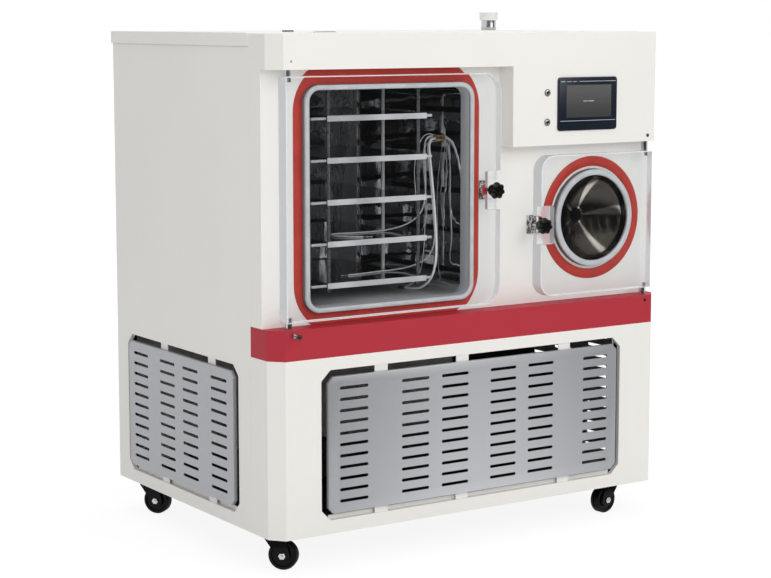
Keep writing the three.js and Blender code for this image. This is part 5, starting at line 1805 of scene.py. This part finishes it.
@dataclass
class Controls:
    """The touch panel and the two push buttons."""

    bezel_corner: float = 9.0
    screen: tuple[float, float, float, float] = (949, 1111, 147, 238)
    upper_line: float = 137.0
    lower_line: float = 247.5
    ring: float = 10.5

    def build(self, frame: Frame, palette: Palette) -> None:
        """Build the panel's pieces and the buttons."""
        self.panel(frame, palette)
        self.display(frame, palette)
        self.print_marks(frame, palette)
        for name in ("start_button", "stop_button"):
            self.button(name, frame, palette)

    def panel(self, frame: Frame, palette: Palette) -> None:
        """Mould the bezel with eased edges, over the CAD housing's outline."""
        middle, size = front_of("touch_screen")
        stand = frame.corner.y - middle.y
        corner, neck = self.bezel_corner * MM, 0.0083
        rings = []
        for inset, depth, radius in (
            (0.0022, 0.0, corner - 0.0022), (0.0006, 0.0006, corner - 0.0006),
            (0.0, 0.002, corner), (0.0, stand, corner), (neck, stand, 0.0012),
            (neck, size.y, 0.0012),
        ):
            outline = rounded(size.x - 2 * inset, size.z - 2 * inset, [radius] * 4, 6)
            rings.append(Facing.FRONT.ring(outline, middle, depth))
        piece = Shape().loft(rings).piece("panel_bezel", [palette.bezel], 30)
        frame.add(piece, CABINET, "screen_plastic", "touch_screen")

    def plate(self, frame: Frame, box: Sequence[float], rise: float, corner: float) -> Shape:
        """Make a thin plate on the bezel's face.

        Args:
            frame: The packed model.
            box: Its left, right, top and bottom.
            rise: How far it stands off the bezel.
            corner: Its corner radius.

        Returns:
            The plate.
        """
        left, right, top, bottom = box
        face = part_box("touch_screen")[0].y
        low, high = frame.at(left, 0, bottom), frame.at(right, 0, top)
        middle = Vector(((low.x + high.x) / 2, face - rise, (low.z + high.z) / 2))
        outline = rounded(high.x - low.x, high.z - low.z, [corner] * 4, 3)
        rings = [Facing.FRONT.ring(outline, middle, depth) for depth in (0.0, rise + 0.0004)]
        return Shape().loft(rings)

    def display(self, frame: Frame, palette: Palette) -> None:
        """Add the screen itself, with a plain bar where a start page shows its line."""
        left, right, top, bottom = self.screen
        foot, head = frame.at(0, 0, bottom).z, frame.at(0, 0, top).z
        dark, pale = linear(58, 58, 59), linear(84, 84, 85)
        lit = LitDisplay("lit_display", dark, pale, foot, head).material()
        screen = self.plate(frame, self.screen, 0.0003, 0.0012)
        frame.add(screen.piece("panel_display", [lit]), CABINET, "screen_plastic")
        middle, level = (left + right) / 2, (top + bottom) / 2
        words = [(middle + offset, width / 2) for offset, width in ((-13, 16), (8, 20))]
        bars = [(x - half, x + half, level - 1.2, level + 1.2) for x, half in words]
        self.print_bars("panel_bar", bars, (0.0005, 0.0006), frame, palette)

    def print_bars(
        self,
        name: str,
        boxes: Iterable[Sequence[float]],
        edges: Pair,
        frame: Frame,
        palette: Palette,
    ) -> None:
        """Print bars on the panel as one piece.

        Args:
            name: The piece's name.
            boxes: The left, right, top and bottom of each bar.
            edges: How far the bars stand off the bezel, and their corner radius.
            frame: The packed model.
            palette: The finishes.
        """
        shape = Shape()
        for box in boxes:
            shape.join(self.plate(frame, box, *edges))
        frame.add(shape.piece(name, [palette.mark]), CABINET, "screen_plastic")

    def print_marks(self, frame: Frame, palette: Palette) -> None:
        """Print the two thin lines and the row of short dashes on the bezel."""
        upper, lower = self.upper_line, self.lower_line
        lines = (
            (994, 1127, upper, 0.8), (928, 944, upper, 1.2), (950, 966, upper, 0.8),
            (971, 986, upper, 0.8), (927, 1127, lower, 0.8),
        )
        boxes = [(left, right, y - half, y + half) for left, right, y, half in lines]
        self.print_bars("panel_lines", boxes, (0.0003, 0.0003), frame, palette)

    def button(self, node: str, frame: Frame, palette: Palette) -> None:
        """Turn a domed cap that travels, and the fixed ring round it."""
        low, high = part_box(node)
        radius, face = (high.z - low.z) / 2, frame.corner.y
        centre = Vector(((low.x + high.x) / 2, face, (low.z + high.z) / 2))
        front, back = low.y - face, high.y - face
        cap = Shape().turned(
            [
                (radius * 0.3, front + 0.0012), (radius * 0.62, front + 0.0009),
                (radius * 0.74, front), (radius * 0.93, front + 0.0004),
                (radius, front + 0.0014), (radius, back),
            ],
            centre,
            Facing.FRONT,
            32,
            [1, 0, 0, 0, 0],
        )
        frame.add(cap.piece(node + "_cap", [palette.zinc, palette.socket]), node, "stainless", node)
        hole, rim = radius + 0.0006, self.ring * MM
        profile = [(hole, -0.0001), (hole, -0.0026), (rim - 0.0006, -0.0026), (rim, -0.001),
                   (rim, -0.0001)]
        ring = Shape().turned(profile, centre, Facing.FRONT, looped=True)
        frame.add(ring.piece(node + "_ring", [palette.steel]), CABINET, "stainless")


# ------------------------------------------------------------------ lid and band fittings


@dataclass
class SmallFittings:
    """The vent on the lid, the lock peg on the band and the hinge pins."""

    flare: float = 1.5

    def build(self, frame: Frame, palette: Palette) -> None:
        """Turn the vent, its cap and the peg, and dress the pins."""
        self.vent(frame, palette)
        self.peg(frame, palette)
        for door in ("main", "condenser"):
            frame.dress(palette.steel, f"{door}_pin_top", f"{door}_pin_bottom")

    def vent(self, frame: Frame, palette: Palette) -> None:
        """Turn the steel tube with its bead, and the flared white cap."""
        low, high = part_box("vent_tube")
        radius = (high.x - low.x) / 2 + 0.0003
        base = Vector(((low.x + high.x) / 2, (low.y + high.y) / 2, low.z))
        tall = high.z - low.z
        inner = radius - 0.003
        profile = [
            (inner, 0.0), (radius, 0.0), (radius, tall * 0.72), (radius + 0.0006, tall * 0.74),
            (radius + 0.0006, tall * 0.77), (radius, tall * 0.79), (radius, tall), (inner, tall),
        ]
        tube = Shape().turned(profile, base, Facing.TOP, 48, looped=True)
        frame.add(tube.piece("vent_pipe", [palette.steel]), CABINET, "stainless", "vent_tube")
        low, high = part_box("vent_cap")
        wide = (high.x - low.x) / 2
        top = 0.025
        seat = Vector((base.x, base.y, high.z - top))
        flare = self.flare * MM
        cap = Shape().turned(
            [
                (inner - 0.001, low.z - high.z + top), (inner - 0.001, 0.0),
                (wide - 2 * flare, 0.0), (wide - flare, 0.001), (wide - 0.3 * flare, top * 0.8),
                (wide, top * 0.86), (wide, top - 0.0012), (wide - 0.0015, top),
                (wide - 0.006, top), (wide - 0.007, top - 0.0008),
            ],
            seat,
            Facing.TOP,
            48,
        )
        frame.add(cap.piece("vent_lid", [palette.white]), CABINET, "white_plastic", "vent_cap")

    def peg(self, frame: Frame, palette: Palette) -> None:
        """Turn the peg with its waist and ball."""
        centre, size = front_of("lock_peg")
        ball, reach = size.z / 2, size.y
        profile = [
            (ball * math.sin(math.pi * step / 12), ball - ball * math.cos(math.pi * step / 12))
            for step in range(1, 10)
        ]
        neck = 0.0032
        profile += [(neck, 2 * ball + 0.001), (neck, reach - 0.008), (0.0062, reach - 0.0075),
                    (0.0062, reach)]
        piece = Shape().turned(profile, centre, Facing.FRONT, 24, [1] * 9 + [0] * 3)
        frame.add(
            piece.piece("lock_peg_turned", [palette.steel, palette.socket]),
            CABINET, "stainless", "lock_peg",
        )


@dataclass
class Plant:
    """The finned coil and the dark relay box behind the front slots."""

    front: float = 193.0
    depth: float = 80.0
    tray: float = 4.0
    under: float = 12.0
    bends: float = 40.0
    fin: float = 1.2
    pitch: float = 8.0
    tubes: int = 6
    tube_radius: float = 6.0
    first_tube: float = 45.0
    tube_pitch: float = 48.0
    relay_low: Triple = (806, 244, 1000)
    relay_high: Triple = (1041, 344, 860)

    def build(self, frame: Frame, palette: Palette) -> None:
        """Stack the fins between the coil's end plates."""
        low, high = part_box("cooling_coil")
        deep, front = self.depth * MM, frame.at(0, self.front, 0).y
        foot, right = low.z + self.tray * MM, high.x - self.bends * MM
        shape = Shape().slab(
            Vector((low.x, front, foot + self.under * MM)),
            Vector((low.x + self.fin * MM, front + deep, high.z)),
        )
        fins = shape.piece("coil_fins", [palette.fins])
        pitch = self.pitch * MM
        values = {"Count": int((right - low.x) / pitch), "Pitch": (pitch, 0.0, 0.0)}
        stack_pattern().run(fins, {**values, "Coat": palette.fins})
        frame.add(fins, CABINET, "fin_alloy")
        body = Shape().slab(low, Vector((high.x, high.y, foot)))
        for row in range(self.tubes):
            height = foot + (self.first_tube + row * self.tube_pitch) * MM
            start = Vector((low.x - 0.004, front + deep / 2, height))
            outline = circle(self.tube_radius * MM, 12)
            body.loft(
                [
                    [start + Vector((along, u, v)) for u, v in outline]
                    for along in (0.0, right - start.x)
                ]
            )
        tubes = body.piece("coil_tubes", [palette.black_frame])
        frame.add(tubes, CABINET, "fin_alloy", "cooling_coil")
        box = Shape().slab(frame.at(*self.relay_low), frame.at(*self.relay_high), 0.003)
        frame.add(box.piece("relay_box", [palette.black_frame]), CABINET, "dark_frame")


# ------------------------------------------------------------------ casters


@dataclass
class Caster:
    """A swivel caster: hooded fork, bright axle nuts and a grooved wheel."""

    corner: str
    radius: float = 40.0
    width: float = 30.0
    gap: float = 2.5
    leg: float = 3.0
    head: float = 30.0
    hood: float = 21.5

    def build(self, frame: Frame, palette: Palette) -> None:
        """Build both pieces in the caster's own frame and stand them in place."""
        swivel = Vector(frame.joint(f"caster_swivel_{self.corner}")["pos_m"])
        wheel = frame.joint(f"caster_wheel_roll_{self.corner}")
        axle = Vector(wheel["axis"]).normalized()
        hub = Vector(wheel["pos_m"])
        trail = hub - Vector((swivel.x, swivel.y, hub.z))
        along = axle.cross(Vector((0, 0, 1))).normalized()
        reach = trail.dot(along)
        basis = Matrix((along, axle, Vector((0, 0, 1)))).transposed().to_4x4()
        stand = Matrix.Translation((swivel.x, swivel.y, 0.0)) @ basis
        self.fork(reach, stand, frame, palette)
        self.wheel(reach, stand, frame, palette)

    def fork(self, reach: float, stand: Matrix, frame: Frame, palette: Palette) -> None:
        """Build the head, the two hood plates, the axle and its nuts."""
        node = f"caster_fork_{self.corner}"
        top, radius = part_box(node)[1].z, self.radius * MM
        drop, hood = top - 0.01, self.hood * MM
        head, inner = self.head * MM, (self.width / 2 + self.gap) * MM
        shape = Shape()
        plug = [
            (head - 0.004, top), (head, top - 0.002), (head, drop - 0.002),
            (head - 0.004, drop - 0.004),
        ]
        shape.turned(plug, Vector(), Facing.TOP)
        side = 1 if reach > 0 else -1
        outline = [(-side * head * 0.98, drop + 0.004), (side * head * 0.98, drop + 0.004)]
        start, end = math.radians(18), math.radians(-198)
        for step in range(13):
            angle = start + (end - start) * step / 12
            outline.append((reach + side * hood * math.cos(angle), radius + hood * math.sin(angle)))
        plate = self.leg * MM
        nut = [(0.0098, 0.0), (0.0098, 0.0034), (0.0086, 0.0046)]
        stud = [(0.0045, 0.0), (0.0045, 0.0062), (0.0036, 0.0068)]
        for sign in (-1, 1):
            near, far = sign * inner, sign * (inner + plate)
            eased = sign * (inner + plate * 0.7)
            pulled = [(u + (reach - u) * 0.03, v + (radius - v) * 0.03) for u, v in outline]
            rings = [
                [Vector((u, depth, v)) for u, v in points]
                for depth, points in ((near, outline), (eased, outline), (far, pulled))
            ]
            shape.loft(rings)
            seat = Vector((reach, far - sign * 0.0004, radius))
            self.turn_side(shape, nut, seat, sign, 6, 1)
            self.turn_side(shape, stud, seat, sign, 12, 1)
        bolt = [(0.006, 0.0), (0.006, 2 * inner)]
        self.turn_side(shape, bolt, Vector((reach, -inner, radius)), 1, 16, 1)
        shape.moved(stand)
        hooded = shape.piece(node + "_hood", [palette.caster, palette.zinc], 40)
        frame.add(hooded, node, "dark_frame", node)

    @staticmethod
    def turn_side(
        shape: Shape, profile: list[Pair], centre: Vector, sign: int, sides: int, slot: int
    ) -> None:
        """Turn a small part along the axle, outwards from a centre."""
        rings = [
            [centre + Vector((u, sign * depth, v)) for u, v in circle(r, sides)]
            for r, depth in profile
        ]
        shape.loft(rings, slot)

    def wheel(self, reach: float, stand: Matrix, frame: Frame, palette: Palette) -> None:
        """Turn the wheel with two treads, a groove between them and dished sides."""
        node = f"caster_wheel_{self.corner}"
        radius, half = self.radius * MM, self.width * MM / 2
        bore = 0.0066
        side = [
            (bore, half), (0.016, half), (0.019, half - 0.003), (radius * 0.72, half - 0.003),
            (radius * 0.76, half), (radius * 0.93, half - 0.0006), (radius, half - 0.005),
            (radius, 0.0022), (radius - 0.0035, 0.0016),
        ]
        profile = [(r, -depth) for r, depth in side] + side[::-1]
        slots = [1] * 4 + [0] * 8 + [1] * 6
        rings = [
            [Vector((reach + u, depth, radius + v)) for u, v in circle(r, 64)]
            for r, depth in profile
        ]
        shape = Shape().loft(rings, slots, looped=True).moved(stand)
        piece = shape.piece(node + "_turned", [palette.tyre, palette.caster], 40)
        frame.add(piece, node, "tyre_black", node)


# ------------------------------------------------------------------ assembly


def main() -> None:
    """Build the machine's pieces in order and report each."""
    logging.basicConfig(level=logging.INFO, format="%(name)s: %(message)s")
    frame = Frame()
    studio = Studio()
    studio.place_camera()
    palette = Palette()
    for lead in LEADS:
        lead.build(frame, palette)
    Covers().build(frame, palette)
    slots = perforation_pattern()
    for tray in TRAYS:
        tray.build(slots, frame, palette)
    ShelfChamber().build(frame, palette)
    CondenserPot().build(frame, palette)
    for door in DOORS:
        door.build(frame, palette)
    for name in ("main", "condenser"):
        Latch(name).build(frame, palette)
    Controls().build(frame, palette)
    SmallFittings().build(frame, palette)
    Plant().build(frame, palette)
    for corner in ("front_left", "front_right", "back_left", "back_right"):
        Caster(corner).build(frame, palette)
    studio.light()
    studio.lay_floor()
    log.info("the machine is built")


if __name__ == "__main__":
    main()
